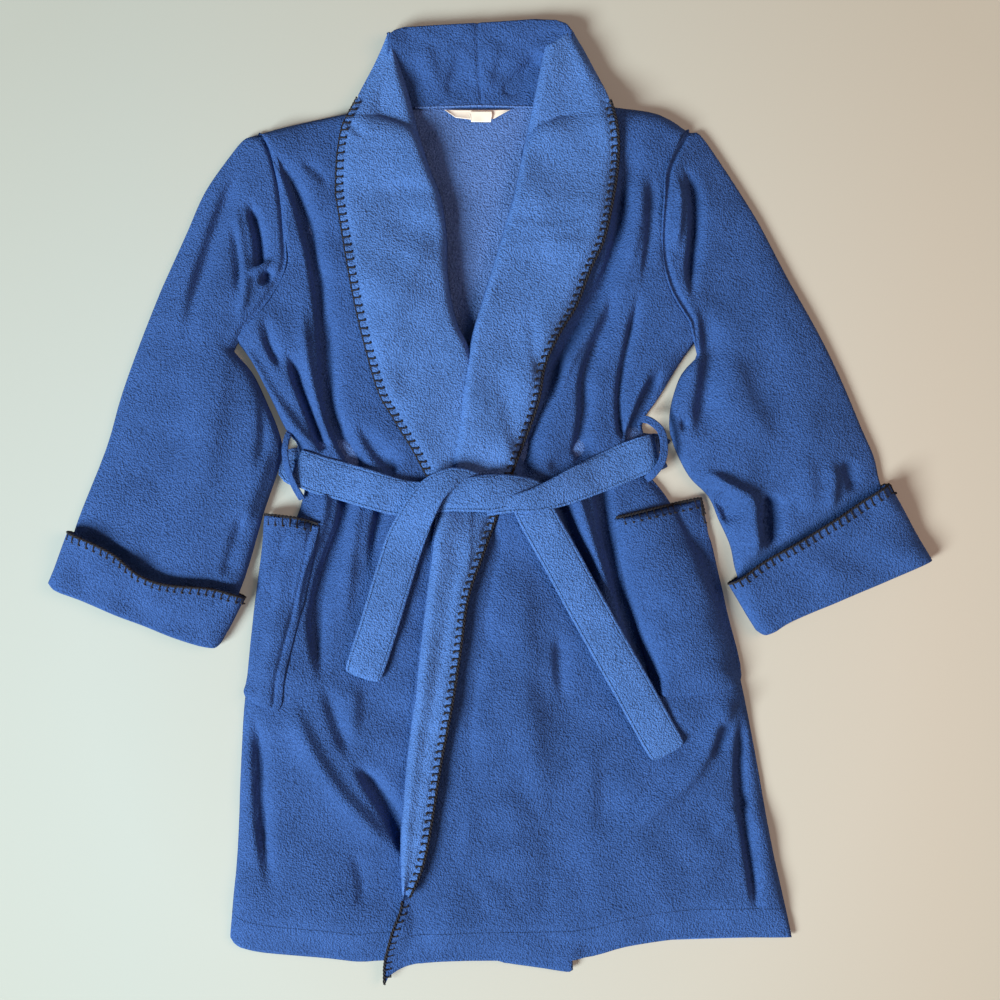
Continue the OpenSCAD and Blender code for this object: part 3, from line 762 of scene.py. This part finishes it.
def collarBackPiece():
    look = collarLook
    leftEdges, rightEdges = lapelCloth["left"], lapelCloth["right"]
    lowY, highY = look["neckline"] * mm, look["standTop"] * mm
    crownX, crownY = np.array(look["crown"]).T * mm

    def place(u, v):
        v2 = np.minimum(v / 0.62, 1)  # up the stand, then down the fall behind it
        back = np.maximum(v - 0.62, 0) / 0.38
        climb = np.sin(v2 * math.pi / 2)
        yRow = lowY + (highY - lowY) * climb
        outer, left = leftEdges.edges(np.minimum(yRow, 0.516))
        left = left - np.minimum(6 * mm, 0.6 * (left - outer))
        right, outer = rightEdges.edges(np.minimum(yRow, 0.516))
        right = right + np.minimum(6 * mm, 0.6 * (outer - right))
        x = left + (right - left) * u
        crown = np.interp(x, crownX, crownY)
        y = lowY + (crown - lowY) * climb
        y = y - (crown - look["fallFrom"] * mm) * back
        side = np.minimum(x - left, right - x)
        rise = 4.2 + 11.5 * smooth(v2, 0.0, 0.75) + 4.0 * (1 - smooth(side, 0, 28 * mm)) * smooth(v2, 0, 0.5)
        rise += 1000 * folds(x, y, look["backFolds"]) * smooth(v2, 0, 0.15)
        off = x - look["centreSeam"] * mm + 2 * mm * np.sin(y * 40)
        seam = np.exp(-(off / (1.5 * mm)) ** 2) * look["seamDip"]
        rise = rise - seam * (1 - back)
        rise = 3.0 + (rise - 3.0) * rounded(1.0 - v2, 0.16)
        z = np.where(back > 0, 3.0 - 1.2 * np.minimum(back * 12, 1), rise) * mm
        z += ripples(x, y, 41, 36, 0.7) * (back == 0) * smooth(v2, 0, 0.2) * (1 - smooth(v2, 0.8, 1))
        return np.column_stack([x, y, np.maximum(z, 1.6 * mm)]), np.column_stack([x, y])
    obj = sheetGrid("collarBack", 80, 90, place)
    fixNormals(obj)
    return thicken(obj, 1.4 * mm, 0.0)


finishPiece(collarBackPiece(), "robe", ["left_collar_stand", "right_collar_stand", "collar_fall"],
            robeFleece)
print("collar done")


sleeveTurn = {"left": 0.431, "right": -0.475}  # each sleeve slants away from the body, in radians
sleeveGaps = {  # edge, and where the gap between crown and arm begins and ends on it, in mm
    "left": [("left", 70, 128), ("right", 33, 60)],
    "right": [("right", 68, 130), ("left", 39, 75)],
}
sleeveCloth, cuffCloth = {}, {}
for side, turn in sleeveTurn.items():
    gaps = [(edge, near * mm, far * mm) for edge, near, far in sleeveGaps[side]]
    nodes = [side + "_sleeve_cap", side + "_sleeve"]
    sleeveCloth[side] = Cloth(nodes, turn, high=-4 * mm, reach=1 * mm, bridges=gaps)
    cuffCloth[side] = Cloth([side + "_cuff"], turn, reach=1 * mm)

sleeveLook = {
    "height": 20.0,  # mm, top of the sleeve
    "foldGain": 1.6,
    "middle": 6.4,  # mm, where its two sides turn over
    "outerRound": 40,
    "outerSlope": 96,
    "roundShare": 0.36,
    "innerRound": 26,
    "leftFolds": [  # points in mm, height, width, lean, fades
        ([(-277, 368), (-293, 333), (-312, 278), (-327, 228), (-334, 179)], -9, 8, 0, 0.2, 0.4),
        ([(-267, 333), (-257, 294), (-254, 258)], -9, 5, 0, 0.3, 0.1),
        ([(-279, 333), (-274, 289), (-267, 250), (-268, 223), (-277, 195)], 4, 4.5, 0, 0.3, 0.2),
        ([(-285, 316), (-278, 267), (-277, 217)], -5, 5, 0, 0.3, 0.4),
        ([(-243, 258), (-251, 239)], -8, 5, 0, 0.3, 0.3),
        ([(-266, 251), (-242, 265)], 3.5, 3.5, 0, 0.2, 0.2),
        ([(-251, 118), (-250, 69), (-258, 25)], -4, 6, 0, 0.4, 0.4),
        ([(-239, 69), (-251, 25), (-275, -41)], 3, 7, 0, 0.3, 0.3),
        ([(-288, 190), (-301, 91), (-314, 3)], 4, 18, 0, 0.3, 0.3),
        ([(-268, -3), (-282, -47), (-293, -85)], -4, 7, 0, 0.3, 0.2),
    ],
    "rightFolds": [
        ([(212, 371), (222, 333), (222, 289), (218, 250), (223, 217)], -10, 5.5, 0, 0.25, 0.35),
        ([(204, 364), (209, 327), (204, 272)], 3.5, 4, 0, 0.3, 0.3),
        ([(229, 223), (238, 173), (234, 118), (224, 69)], -9, 11, 0, 0.3, 0.25),
        ([(262, 168), (279, 113), (308, 58)], 4, 18, 0, 0.3, 0.3),
        ([(210, 93), (213, 78)], -5, 4, 0, 0.3, 0.3),
        ([(231, 37), (265, 18), (286, 5), (290, -20), (294, -63)], 6.5, 7.5, -0.2, 0.2, 0.2),
        ([(304, 12), (302, -21), (305, -50)], -11, 7, 0.3, 0.2, 0.2),
        ([(243, 6), (255, -6), (262, -24)], -8, 7, 0, 0.2, 0.2),
        ([(374, 47), (377, 20), (373, -8)], 5, 6, 0, 0.3, 0.2),
        ([(388, 49), (394, 29), (400, 12)], -7, 7, 0, 0.3, 0.2),
        ([(341, 58), (350, 19), (346, -10)], 3, 12, 0, 0.4, 0.2),
    ],
}


def sleeveTop(side, x, y):
    look = sleeveLook
    cloth = sleeveCloth[side]
    left, right, bottom, top = cloth.depths(x, y)
    outer, inner = (left, right) if side == "left" else (right, left)
    below = 1 - smooth(cloth.own(x, y)[1], 10 * mm, 70 * mm)
    gradual = 1 - (1 - np.clip(outer / (look["outerSlope"] * mm), 0, 1)) ** 2
    full = look["roundShare"] * rounded(outer, look["outerRound"] * mm) + (1 - look["roundShare"]) * gradual
    full = full * (1 - below + below * rounded(inner, look["innerRound"] * mm))
    z = folds(x, y, look[side + "Folds"]) * 1000 * look["foldGain"]
    z += ripples(x, y, 51 if side == "left" else 57, 140, 2.4) * 1000
    z += ripples(x, y, 61 if side == "left" else 67, 54, 0.8) * 1000
    z = look["middle"] + (look["height"] - look["middle"] + z) * full
    z -= 4.0 * np.exp(-(inner / (3.4 * mm)) ** 2) * (1 - below)
    cuffX, cuffY = cuffCloth[side].own(x, y)
    past = cuffY - cuffCloth[side].lines(cuffX)[1]  # the cloth sinks where it goes into the cuff
    z -= (z - 6.4) * (1 - smooth(past, -2 * mm, 15 * mm)) * 0.9
    return np.maximum(z, 3.0) * mm


def sleevePiece(side):
    cloth = sleeveCloth[side]

    def place(u, v):
        share = np.where(u < 0.5, 2 * u, 2 - 2 * u)
        share = 0.5 * share + 0.25 * (1 - np.cos(share * math.pi))
        y = cloth.low + (cloth.high - cloth.low) * v
        left, right = cloth.edges(y)
        tuck = 3 * mm * smooth(y, 20 * mm, 90 * mm)  # at the armhole it runs on under the body's edge
        tuck = tuck + 6 * mm * smooth(y, cloth.high - 60 * mm, cloth.high - 15 * mm)
        left, right = (left, right + tuck) if side == "left" else (left - tuck, right)
        x = left + (right - left) * share
        fx, fy = cloth.flat(x, y)
        top = sleeveTop(side, fx, fy)
        mid = sleeveLook["middle"] * mm
        under = mid - (mid - 1.2 * mm) * rounded(np.minimum(x - left, right - x), 12 * mm)
        z = np.where(u <= 0.5, top, np.minimum(under, top - 1 * mm))
        return np.column_stack([fx, fy, z]), np.column_stack([x - left, y - cloth.low])
    obj = sheetGrid(side + "Sleeve", 112, 132, place, closed=True)
    thicken(obj, bodyLook["thickness"] * mm)
    obj.data.materials.append(robeFleece)
    applied(obj)
    (x0, x1), (y0, y1) = cloth.flat([sum(cloth.edges(0.1)) / 2, sum(cloth.edges(-0.02)) / 2], [0.096, -0.03])
    side + "_sleeve"
    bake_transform(obj)
    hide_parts(side + "_sleeve_cap", side + "_sleeve", side + "_sleeve_seam")
    return obj


cuffLook = {
    "trim": 24,  # mm, how far in from its ends the cuff's side edges are read
    "fold": 8.2,  # mm, half the height of the cuff at its folded end
    "open": 13.6,  # and at its stitched edge
    "inside": 0.26,  # share of the mesh that lines the mouth
    "liningGap": 3.4,
    "round": 20,
    "pitch": 8.5,
}


def cuffSurface(side):
    cloth = cuffCloth[side]
    look = cuffLook

    def surface(around, up, inner=0.0):
        # around: 0 to 1 from the left edge over the top; up: share from the fold to the stitched edge
        share = np.where(around < 0.5, 2 * around, 2 - 2 * around)
        share = 0.5 * share + 0.25 * (1 - np.cos(share * math.pi))
        trim = look["trim"] * mm
        row = cloth.low + trim + (cloth.high - cloth.low - 2 * trim) * up
        left, right = cloth.edges(row)
        left, right = left + inner, right - inner
        x = left + (right - left) * share
        bottom, top = cloth.lines(np.clip(x, cloth.cols[0] + 6 * mm, cloth.cols[-1] - 6 * mm))
        y = bottom + (top - bottom) * up
        fx, fy = cloth.flat(x, y)
        half = look["fold"] + (look["open"] - look["fold"]) * up
        half += (ripples(fx, fy, 71 if side == "left" else 77, 60, 1.0) * 1000)
        middle = half + 0.8
        half = (half - inner * 1000) * rounded(np.minimum(x - left, right - x), look["round"] * mm) + 0.4
        half = half * (0.42 + 0.58 * rounded(np.clip(up, 0, 1) * 70 * mm, 9 * mm))
        z = middle + np.where(around <= 0.5, half, -half * 0.96)
        return np.column_stack([fx, fy, np.maximum(z, 0.9) * mm]), np.column_stack([x - left, y - bottom])
    return surface


cuffAt = {side: cuffSurface(side) for side in ("left", "right")}


def cuffPiece(side):
    def place(u, v):
        look = cuffLook
        inside = v < look["inside"]
        up = np.where(inside, (1 - v / look["inside"]) * 0.36, (v - look["inside"]) / (1 - look["inside"]))
        outer, uv = cuffAt[side](u, up)
        lining, _ = cuffAt[side](u, up, look["liningGap"] * mm * np.ones(len(u)))
        share = np.where(inside, smooth(up, 0.0, 0.10), 0)[:, None]
        return outer + (lining - outer) * share, uv
    obj = sheetGrid(side + "Cuff", 132, 44, place, closed=True)
    thicken(obj, 2.2 * mm)
    return finishPiece(obj, side + "_sleeve", [side + "_cuff"], robeFleece)


for side in ("left", "right"):
    sleevePiece(side)
    cuffPiece(side)
print("sleeves and cuffs done")


pocketCloth = {"left": Cloth(["left_pocket"], low=15 * mm, high=13 * mm, reach=30 * mm),
               "right": Cloth(["right_pocket"], low=20 * mm, high=26 * mm, reach=50 * mm)}
pocketLook = {"puff": 4.6, "mouth": 3.6, "edge": 9, "pitch": 8.4, "seamIn": 9.5, "seamDip": 2.2}  # mm


def pocketTop(side, x, y):
    cloth = pocketCloth[side]
    look = pocketLook
    left, right, bottom, top = cloth.depths(x, y)
    under = leftTop(x, y) if side == "left" else rightTop(x, y)
    inside = np.minimum(np.minimum(left, right), bottom + 3 * mm)
    puff = 1.6 + look["puff"] * smooth(inside, 0, 30 * mm)
    z = under * 1000 + 1.0 + puff * rounded(inside, look["edge"] * mm)
    z += look["mouth"] * (1 - smooth(top, 4 * mm, 46 * mm)) * smooth(np.minimum(left, right), 0, 16 * mm)
    if side == "left":
        outer = rounded(left, 24 * mm)
        z = np.maximum(z, 8 + 10 * outer)
        z = 5 + (z - 5) * rounded(left + 1 * mm, 12 * mm)
        z -= look["seamDip"] * np.exp(-((right - look["seamIn"] * mm) / (2.2 * mm)) ** 2)
    z += ripples(x, y, 81 if side == "left" else 87, 42, 0.5) * 1000
    return z * mm


def pocketPiece(side):
    cloth = pocketCloth[side]
    obj = panel(side + "Pocket", cloth, lambda x, y: pocketTop(side, x, y), 44 if side == "left" else 60, 90,
                "right" if side == "left" else "left")
    thicken(obj, 2.2 * mm)
    return finishPiece(obj, "robe", [side + "_pocket"], pocketFleece)


for side in ("left", "right"):
    pocketPiece(side)
print("pockets done")


beltLook = {
    "steps": 8,  # rows of mesh between two points of a strap
    "square": 0.42,  # how square its long edges are, 1 is round
    "fullness": 0.75,
    "stitchIn": 4,  # mm, from each edge to its row of stitches
    "stitchDip": 0.16,
}


def strap(name, points, body, nodes, material, blendTo=None):
    # each point: x, y, height and width in mm, lean to one side in degrees, thickness in mm
    look = beltLook
    line = curveThrough(points, look["steps"])
    centre, width, lean = line[:, :3] * mm, line[:, 3] * mm, np.radians(line[:, 4])
    thick = line[:, 5] * mm
    along = np.gradient(centre, axis=0)
    along /= np.linalg.norm(along, axis=1)[:, None]
    flat = np.column_stack([-along[:, 1], along[:, 0], np.zeros(len(along))])
    flat /= np.maximum(np.linalg.norm(flat, axis=1), 1e-6)[:, None]
    for i in range(1, len(flat)):  # the side direction doesn't flip where the strap turns under
        if flat[i] @ flat[i - 1] < 0:
            flat[i] = -flat[i]
    up = np.cross(along, flat)
    up *= np.where(up[:, 2:3].sum() < 0, -1, 1)
    side = flat * np.cos(lean)[:, None] + up * np.sin(lean)[:, None]
    over = up * np.cos(lean)[:, None] - flat * np.sin(lean)[:, None]
    run = np.concatenate([[0], np.cumsum(np.linalg.norm(np.diff(centre, axis=0), axis=1))])
    rows = len(centre) - 1

    def place(u, v):
        i = np.rint(v * rows).astype(int)
        angle = u * math.tau
        c, s = np.cos(angle), np.sin(angle)
        across = np.sign(c) * np.abs(c) ** look["square"] * width[i] / 2
        depth = np.sign(s) * np.abs(s) ** look["fullness"] * thick[i] / 2
        stitch = np.abs(width[i] / 2 - np.abs(across) - look["stitchIn"] * mm)
        depth = depth * (1 - look["stitchDip"] * np.exp(-(stitch / (1.3 * mm)) ** 2))
        xyz = centre[i] + side[i] * across[:, None] + over[i] * depth[:, None]
        xyz[:, 2] += ripples(xyz[:, 0], xyz[:, 1], 91, 34, 0.35)
        return xyz, np.column_stack([across + width[i] / 2, run[i]])
    obj = sheetGrid(name, 40, rows, place, closed=True)
    bm = bmesh.new()
    bm.from_mesh(obj.data)
    bmesh.ops.holes_fill(bm, edges=[e for e in bm.edges if e.is_boundary], sides=0)
    bmesh.ops.recalc_face_normals(bm, faces=bm.faces)
    bm.to_mesh(obj.data)
    bm.free()
    obj.data.polygons.foreach_set("use_smooth", [True] * len(obj.data.polygons))
    if blendTo:
        obj.data.materials.append(material)
        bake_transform(obj)
        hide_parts(*nodes)
        return obj
    return finishPiece(obj, body, nodes, material)


def overCloth(points, under, clear):  # lifts each row of a strap to lie on what is below it
    out = []
    for x, y, z, w, lean, t in points:
        ring = [(x, y), (x - w * 0.4, y), (x + w * 0.4, y), (x, y - 9), (x, y + 9)]
        px = np.array([q[0] for q in ring]) * mm
        py = np.array([q[1] for q in ring]) * mm
        out.append((x, y, max(z, float(under(px, py).max()) * 1000 + clear + t / 2), w, lean, t))
    return out


def clothUnder(x, y):  # the highest cloth at each point, without the belt
    z = np.zeros(len(x))
    layers = [(leftCloth, leftTop), (rightCloth, rightTop)]
    for side in ("left", "right"):
        layers.append((pocketCloth[side], lambda px, py, side=side: pocketTop(side, px, py)))
    for cloth, top in layers:
        on = np.min(cloth.depths(x, y), axis=0) > 0
        z = np.maximum(z, np.where(on, top(x, y), 0))
    for side in ("left", "right"):
        left, right = lapelCloth[side].edges(y)
        edge = x - left if side == "left" else right - x
        on = (edge > 0) & (edge < right - left) & (y > lapelCloth[side].rows[0])
        z = np.maximum(z, np.where(on, lapelTop[side](np.clip(edge, 0, right - left), y)[:, 2], 0))
    return z


strap("beltBack", [(-206, 41, 2.6, 42, 0, 3.6), (-100, 46, 2.6, 42, 0, 3.6), (60, 52, 2.6, 42, 0, 3.6),
                   (172, 55, 2.6, 42, 0, 3.6)], "robe", ["belt_back"], litBeltFleece)
leftBand = [(-196, 42, 2.4, 41, 0, 3.8), (-208, 41, 3.0, 41, 0, 4), (-214.5, 40, 6.5, 41, 0, 4.4),
            (-212, 38.5, 13.0, 41, 0, 4.6)]
leftBand += overCloth([(-203, 36, 15, 41, 0, 4.8), (-186, 30, 0, 42, 0, 5), (-160, 23, 0, 42, 0, 5),
                       (-132, 15, 0, 42, 0, 5), (-100, 6, 0, 40, 0, 5), (-72, 5, 0, 36, 0, 5),
                       (-40, 8, 0, 30, 0, 5)], clothUnder, 0.2)
strap("beltLeftBand", leftBand, "robe", ["belt_left_band"], litBeltFleece)
rightBand = [(166, 57, 2.4, 41, 0, 3.8), (176, 56, 3.2, 41, 0, 4), (183, 56, 8.5, 41, 0, 4.4),
             (180, 55, 16.0, 41, 0, 4.6)]
rightBand += overCloth([(170, 52.5, 19, 41, 0, 4.8), (150, 45, 0, 42, 0, 5), (121, 32, 0, 40, 0, 5.2),
                        (98, 22, 26.0, 38, 6, 5.4), (76, 12.5, 30.0, 34, 10, 6), (50, 3.5, 34.5, 27, 12, 6.6),
                        (28, -0.5, 36.5, 20, 10, 7), (10, -6, 35.0, 13, 0, 6.4), (-3, -10.5, 30.0, 8, 0, 5)],
                       clothUnder, 0.2)
strap("beltRightBand", rightBand, "robe", ["belt_right_band"], litBeltFleece)
strap("beltKnot", [(-62, -2, 27.5, 20, 0, 6), (-46, 4, 31.6, 28, 0, 8.5), (-22, 9, 34.4, 38, 0, 9.5),
                   (6, 11, 35.0, 41, -4, 9.5), (28, 14, 33.2, 33, -8, 8.5), (44, 15, 30.5, 24, -10, 7),
                   (58, 12, 27.5, 16, 0, 6)],
      "robe", ["belt_knot"], litBeltFleece)
leftTail = [(-14, 26, 29.5, 14, 0, 6), (-28, 29, 34.5, 17, 0, 6.4), (-44, 26, 38.0, 24, 6, 6.4),
            (-62, 13, 38.8, 32, 10, 6), (-75, -6, 37.4, 37, 8, 5.6), (-85, -26, 34.0, 40, 4, 5.2),
            (-93, -44, 30.0, 42, 0, 5)]
leftTail += overCloth([(-102, -72, 27.5, 42, -3, 5), (-113, -108, 26, 42, -3, 5), (-124, -144, 24, 42, -2, 5),
                       (-134, -174, 22.5, 42, 0, 5),
                       (-138.4, -186, 22, 40, 0, 4.6), (-139.8, -190, 21.6, 34, 0, 3.6),
                       (-140.3, -191.5, 21.4, 22, 0, 1.6)], clothUnder, 0.9)
strap("beltLeftEnd", leftTail, None, ["belt_left_end"], litBeltFleece,
      blendTo=("belt_left_end", (-0.064, 0.012, 0.03), (-0.088, -0.03, 0.03)))
rightTail = [(30, 14, 24.5, 30, 0, 4.6), (40, 2, 27.5, 36, 0, 4.8), (50, -13, 30.0, 41, 0, 5),
             (62, -34, 29.0, 42, 0, 5), (79, -64, 27.0, 42, 0, 5)]
rightTail += overCloth([(105, -112, 26, 42, 0, 5), (134, -164, 25.5, 42, 0, 5), (160, -210, 25, 42, 0, 5),
                        (182, -250, 24, 42, 0, 5),
                        (192, -267.5, 23.5, 41, 0, 4.6), (194.5, -272, 23, 36, 0, 3.8),
                        (195.4, -273.6, 22.6, 24, 0, 1.8)], clothUnder, 0.9)
strap("beltRightEnd", rightTail, None, ["belt_right_end"], litBeltFleece,
      blendTo=("belt_right_end", (0.036, 0.006, 0.03), (0.062, -0.034, 0.03)))
strap("leftBeltLoop", [(-217, 80, 9, 8, 0, 2.6), (-222, 74, 14, 8, 25, 2.6), (-224.5, 58, 19, 9, 35, 2.6),
                       (-222, 40, 21, 9, 35, 2.6), (-215, 20, 18, 9, 35, 2.6), (-207, 4, 10, 8, 20, 2.6)],
      "robe", ["left_belt_loop"], pocketFleece)
strap("rightBeltLoop", [(168, 92, 13, 8, 0, 2.8), (176, 89, 21, 8.5, 0, 2.8), (187, 78, 25, 8.5, 0, 2.8),
                        (190, 60, 26, 8.5, 0, 2.8), (187, 44, 25, 8.5, 0, 2.8), (178, 31, 20, 8.5, 0, 2.8),
                        (172, 26, 14, 8, 0, 2.8)],
      "robe", ["right_belt_loop"], pocketFleece)
print("belt tied")


yarnLook = {
    "yarn": 0.85,  # mm, radius
    "twist": 0.95,
    "reach": 6.6,
    "lift": 0.35,
}


def blanketStitch(edge, inner, pitch, chain=1.0):  # edge and inner: matching rows of points on the cloth
    look = yarnLook
    run, starts = stitchRun(edge, pitch)
    out = edge - inner
    out[:, 2] = 0
    out /= np.maximum(np.linalg.norm(out, axis=1), 1e-9)[:, None]
    up = np.array([0, 0, 1.0])

    def at(rows, s):
        return np.column_stack([np.interp(s, run, rows[:, k]) for k in range(3)])
    lines = []
    draw = random.Random(5)
    for s in starts:
        e, i, o = at(edge, [s])[0], at(inner, [s + draw.uniform(-0.6, 0.6) * mm])[0], at(out, [s])[0]
        top = look["lift"] * mm
        way = np.cross(o, up)
        mid = e * 0.5 + i * 0.5
        mid[2] = max(mid[2], e[2] * 0.4 + i[2] * 0.6 + 0.2 * mm) + top
        tooth = [(e + o * 1.6 * mm - up * 2.2 * mm, 1.2), (e + o * 1.5 * mm + up * (top - 0.4 * mm), 1.3),
                 (e - o * 0.6 * mm + up * (top + 0.5 * mm), 1.0), (mid, 0.8),
                 (i + up * top, 1.15), (i + way * 1.3 * mm + up * (top - 0.2 * mm), 1.3),
                 (i + way * 2.4 * mm - up * 1.2 * mm, 1.1)]
        lines.append(np.array([(*place, size) for place, size in tooth]))
    count = int(run[-1] / (0.9 * mm))
    s = np.linspace(0, run[-1], count)
    middle = at(edge, s) + at(out, s) * 1.3 * mm - up * (1 - chain) * 2.4 * mm
    tangent = np.gradient(middle, axis=0)
    tangent /= np.linalg.norm(tangent, axis=1)[:, None]
    side = np.cross(tangent, up)
    phase = (s - starts[0]) / (pitch * mm) * math.tau
    for turn in (0.0, math.pi):
        wave = look["twist"] * mm * chain
        strand = middle + side * (np.cos(phase + turn) * wave)[:, None]
        strand = strand + up[None] * (np.sin(phase + turn) * wave * 0.8 + 0.1 * mm)[:, None]
        lines.append(np.column_stack([strand, np.full(len(strand), chain)]))
    for line in lines:
        line[:, 2] = np.maximum(line[:, 2], look["yarn"] * mm * line[:, 3] + 0.2 * mm)
    return lines


def yarnPiece(name, runs, body, node):
    return edgeTube(name, [line for run in runs for line in run], yarnLook["yarn"] * mm, body, [node],
                    blackYarn, 1)


def lapelStitches(side):
    low, high = stitchedSpan[side]
    y = np.linspace(high, low, 700)
    surface = lapelTop[side]
    edge = surface(np.full(700, 0.6 * mm), y)
    inner = surface(np.full(700, yarnLook["reach"] * mm), y)
    return blanketStitch(edge, inner, collarLook["pitch"], 0.6 if side == "left" else 1.0)


def tipStitches():
    x, y = rightCloth.flat(*rightCloth.at(np.zeros(400), np.linspace(0.3, 0.0, 400)))
    keep = y < stitchedSpan["right"][0] - 6 * mm
    x, y = x[keep], y[keep]
    edge = np.column_stack([x + 0.4 * mm, y, rightTop(x + 1 * mm, y)])
    inner = np.column_stack([x + 6.4 * mm, y + 1 * mm, rightTop(x + 6.4 * mm, y)])
    return blanketStitch(edge, inner, collarLook["pitch"])


def underlapStitches():
    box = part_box("left_front_stitching")
    y = np.linspace(box[1][1], box[0][1], 260)
    right = leftCloth.edges(y)[1]
    edge = np.column_stack([right - 0.4 * mm, y, leftTop(right - 2 * mm, y)])
    inner = np.column_stack([right - 7 * mm, y, leftTop(right - 7 * mm, y)])
    return blanketStitch(edge, inner, collarLook["pitch"])


def cuffStitches(side):
    around = np.linspace(0.0, 1.0, 500)
    edge = cuffAt[side](around, np.full(500, 0.985))[0]
    inner = cuffAt[side](around, np.full(500, 0.895))[0]
    below = around > 0.5
    edge[below, 2] -= 0.8 * mm
    inner[below, 2] -= 0.8 * mm
    return blanketStitch(edge, inner, cuffLook["pitch"])


def pocketStitches(side):
    cloth = pocketCloth[side]
    u = np.linspace(0.02, 0.98, 240)
    edgeXY = cloth.at(u, np.full(240, 1.0))
    length = 7.4 * mm / (cloth.high - cloth.low)
    innerXY = cloth.at(u, np.full(240, 1.0 - length))
    edge = np.column_stack([*edgeXY, pocketTop(side, edgeXY[0], edgeXY[1] - 1 * mm)])
    inner = np.column_stack([*innerXY, pocketTop(side, *innerXY)])
    return blanketStitch(edge, inner, pocketLook["pitch"])


yarnPiece("leftLapelStitching", [lapelStitches("left")], "robe", "left_lapel_stitching")
yarnPiece("rightLapelStitching", [lapelStitches("right"), tipStitches()], "robe", "right_lapel_stitching")
yarnPiece("leftFrontStitching", [underlapStitches()], "robe", "left_front_stitching")
for side in ("left", "right"):
    yarnPiece(side + "CuffStitching", [cuffStitches(side)], side + "_sleeve", side + "_cuff_stitching")
    yarnPiece(side + "PocketStitching", [pocketStitches(side)], "robe", side + "_pocket_stitching")
print("stitched")


labelLook = {"neck_label": (5.4, 2.6), "care_tab": (7.4, 1.0)}  # height and curl, in mm


def labelPiece(name, node, height, curl):
    cloth = Cloth([node], reach=2 * mm)
    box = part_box(node)

    def place(u, v):
        x = box[0][0] + (box[1][0] - box[0][0]) * u
        bottom, top = cloth.lines(np.clip(x, cloth.cols[1], cloth.cols[-2]))
        y = bottom + (top - bottom) * v
        z = height + curl * (1 - v) ** 2 * (0.6 + 0.4 * np.sin(u * 7))
        return np.column_stack([x, y, z * mm]), np.column_stack([x, y])
    obj = thicken(sheetGrid(name, 40, 10, place), 0.4 * mm)
    return finishPiece(obj, "neck_label", [node], labelSatin)


for name, node in (("neckLabel", "neck_label"), ("careTab", "care_tab")):
    labelPiece(name, node, *labelLook[node])
print("labels done")
stageLook = {
    "keyPlace": (-4.4, -3.2, 3.6),
    "keyEnergy": 1080,
    "keySize": 2.9,
    "keyColour": (0.86, 0.97, 1.0),
    "fillPlace": (3.0, 0.6, 3.0),
    "fillEnergy": 76,
    "fillSize": 2.6,
    "fillColour": (1.0, 0.60, 0.45),
    "world": (0.80, 0.84, 1.0),
    "worldStrength": 0.13,
    "cameraPlace": (0.011, 0.003, 1.54),
    # floor colours: the cool left and warm right are painted light of the two lamps, the far colour is
    # painted shade where their light falls off
    "floorLeft": (0.36, 0.39, 0.358, 1),
    "floorRight": (0.41, 0.355, 0.285, 1),
    "floorFarShade": (0.24, 0.22, 0.16, 1),
    # painted light: the floor glows a little to lift the shadows cast on it
    "floorPaintedGlow": (0.30, 0.27, 0.22, 1),
    "paintedGlowStrength": 0.22,
}


def areaLight(name, place, target, size, energy, colour):
    data = bpy.data.lights.new(name, "AREA")
    data.shape, data.size, data.energy, data.color = "DISK", size, energy, colour
    obj = bpy.data.objects.new(name, data)
    bpy.context.scene.collection.objects.link(obj)
    obj.location = place
    obj.rotation_euler = (Vector(target) - Vector(place)).to_track_quat("-Z", "Y").to_euler()
    return obj


def floorPiece():
    bm = bmesh.new()
    bmesh.ops.create_grid(bm, x_segments=1, y_segments=1, size=3.0)
    mesh = bpy.data.meshes.new("floor")
    bm.to_mesh(mesh)
    bm.free()
    obj = bpy.data.objects.new("floor", mesh)
    bpy.context.scene.collection.objects.link(obj)
    material = bpy.data.materials.new("floorPaper")
    kit = NodeKit(material)
    look = stageLook
    here = kit.add("ShaderNodeTexCoord", out=3)
    split = kit.add("ShaderNodeSeparateXYZ", {}, {0: here})
    # painted light: the floor's colour turns from the cool lamp's tint on the left to the warm lamp's tint on
    # the right
    warmLampShare = kit.add("ShaderNodeMapRange", {}, {0: split, 1: -0.4, 2: 0.5})
    colour = kit.mixColour(warmLampShare, look["floorLeft"], look["floorRight"])
    # painted shade: darker far from the middle, where the lamps' light falls off
    far = kit.add("ShaderNodeVectorMath", {"operation": "DISTANCE"}, {0: here, 1: (0.0, -0.15, 0.0)}, out=1)
    farShade = kit.add("ShaderNodeMapRange", {}, {0: far, 1: 0.45, 2: 0.85, 3: 0.0, 4: 0.34})
    colour = kit.mixColour(farShade, colour, look["floorFarShade"])
    # painted light: a faint glow that lifts the floor's shadows
    paintedGlow = kit.mixColour(0.5, colour, look["floorPaintedGlow"])
    kit.surface({"Base Color": colour, "Roughness": 0.9, "Emission Color": paintedGlow,
                 "Emission Strength": look["paintedGlowStrength"]})
    mesh.materials.append(material)
    return obj


floorPiece()
scene = bpy.context.scene
scene.view_settings.view_transform = "Standard"
world = bpy.data.worlds.new("softRoom")
world.use_nodes = True
background = next(n for n in world.node_tree.nodes if n.type == "BACKGROUND")
background.inputs["Color"].default_value = (*stageLook["world"], 1)
background.inputs["Strength"].default_value = stageLook["worldStrength"]
scene.world = world
for light, target in (("key", (0, 0, 0)), ("fill", (0.3, 0, 0))):
    place, size, energy, colour = (stageLook[light + part] for part in ("Place", "Size", "Energy", "Colour"))
    areaLight(light + "Light", place, target, size, energy, colour)
camera = bpy.data.cameras.new("camera")
camera.lens, camera.sensor_width = 50, 36
eye = bpy.data.objects.new("camera", camera)
eye.location = stageLook["cameraPlace"]
scene.collection.objects.link(eye)
scene.camera = eye
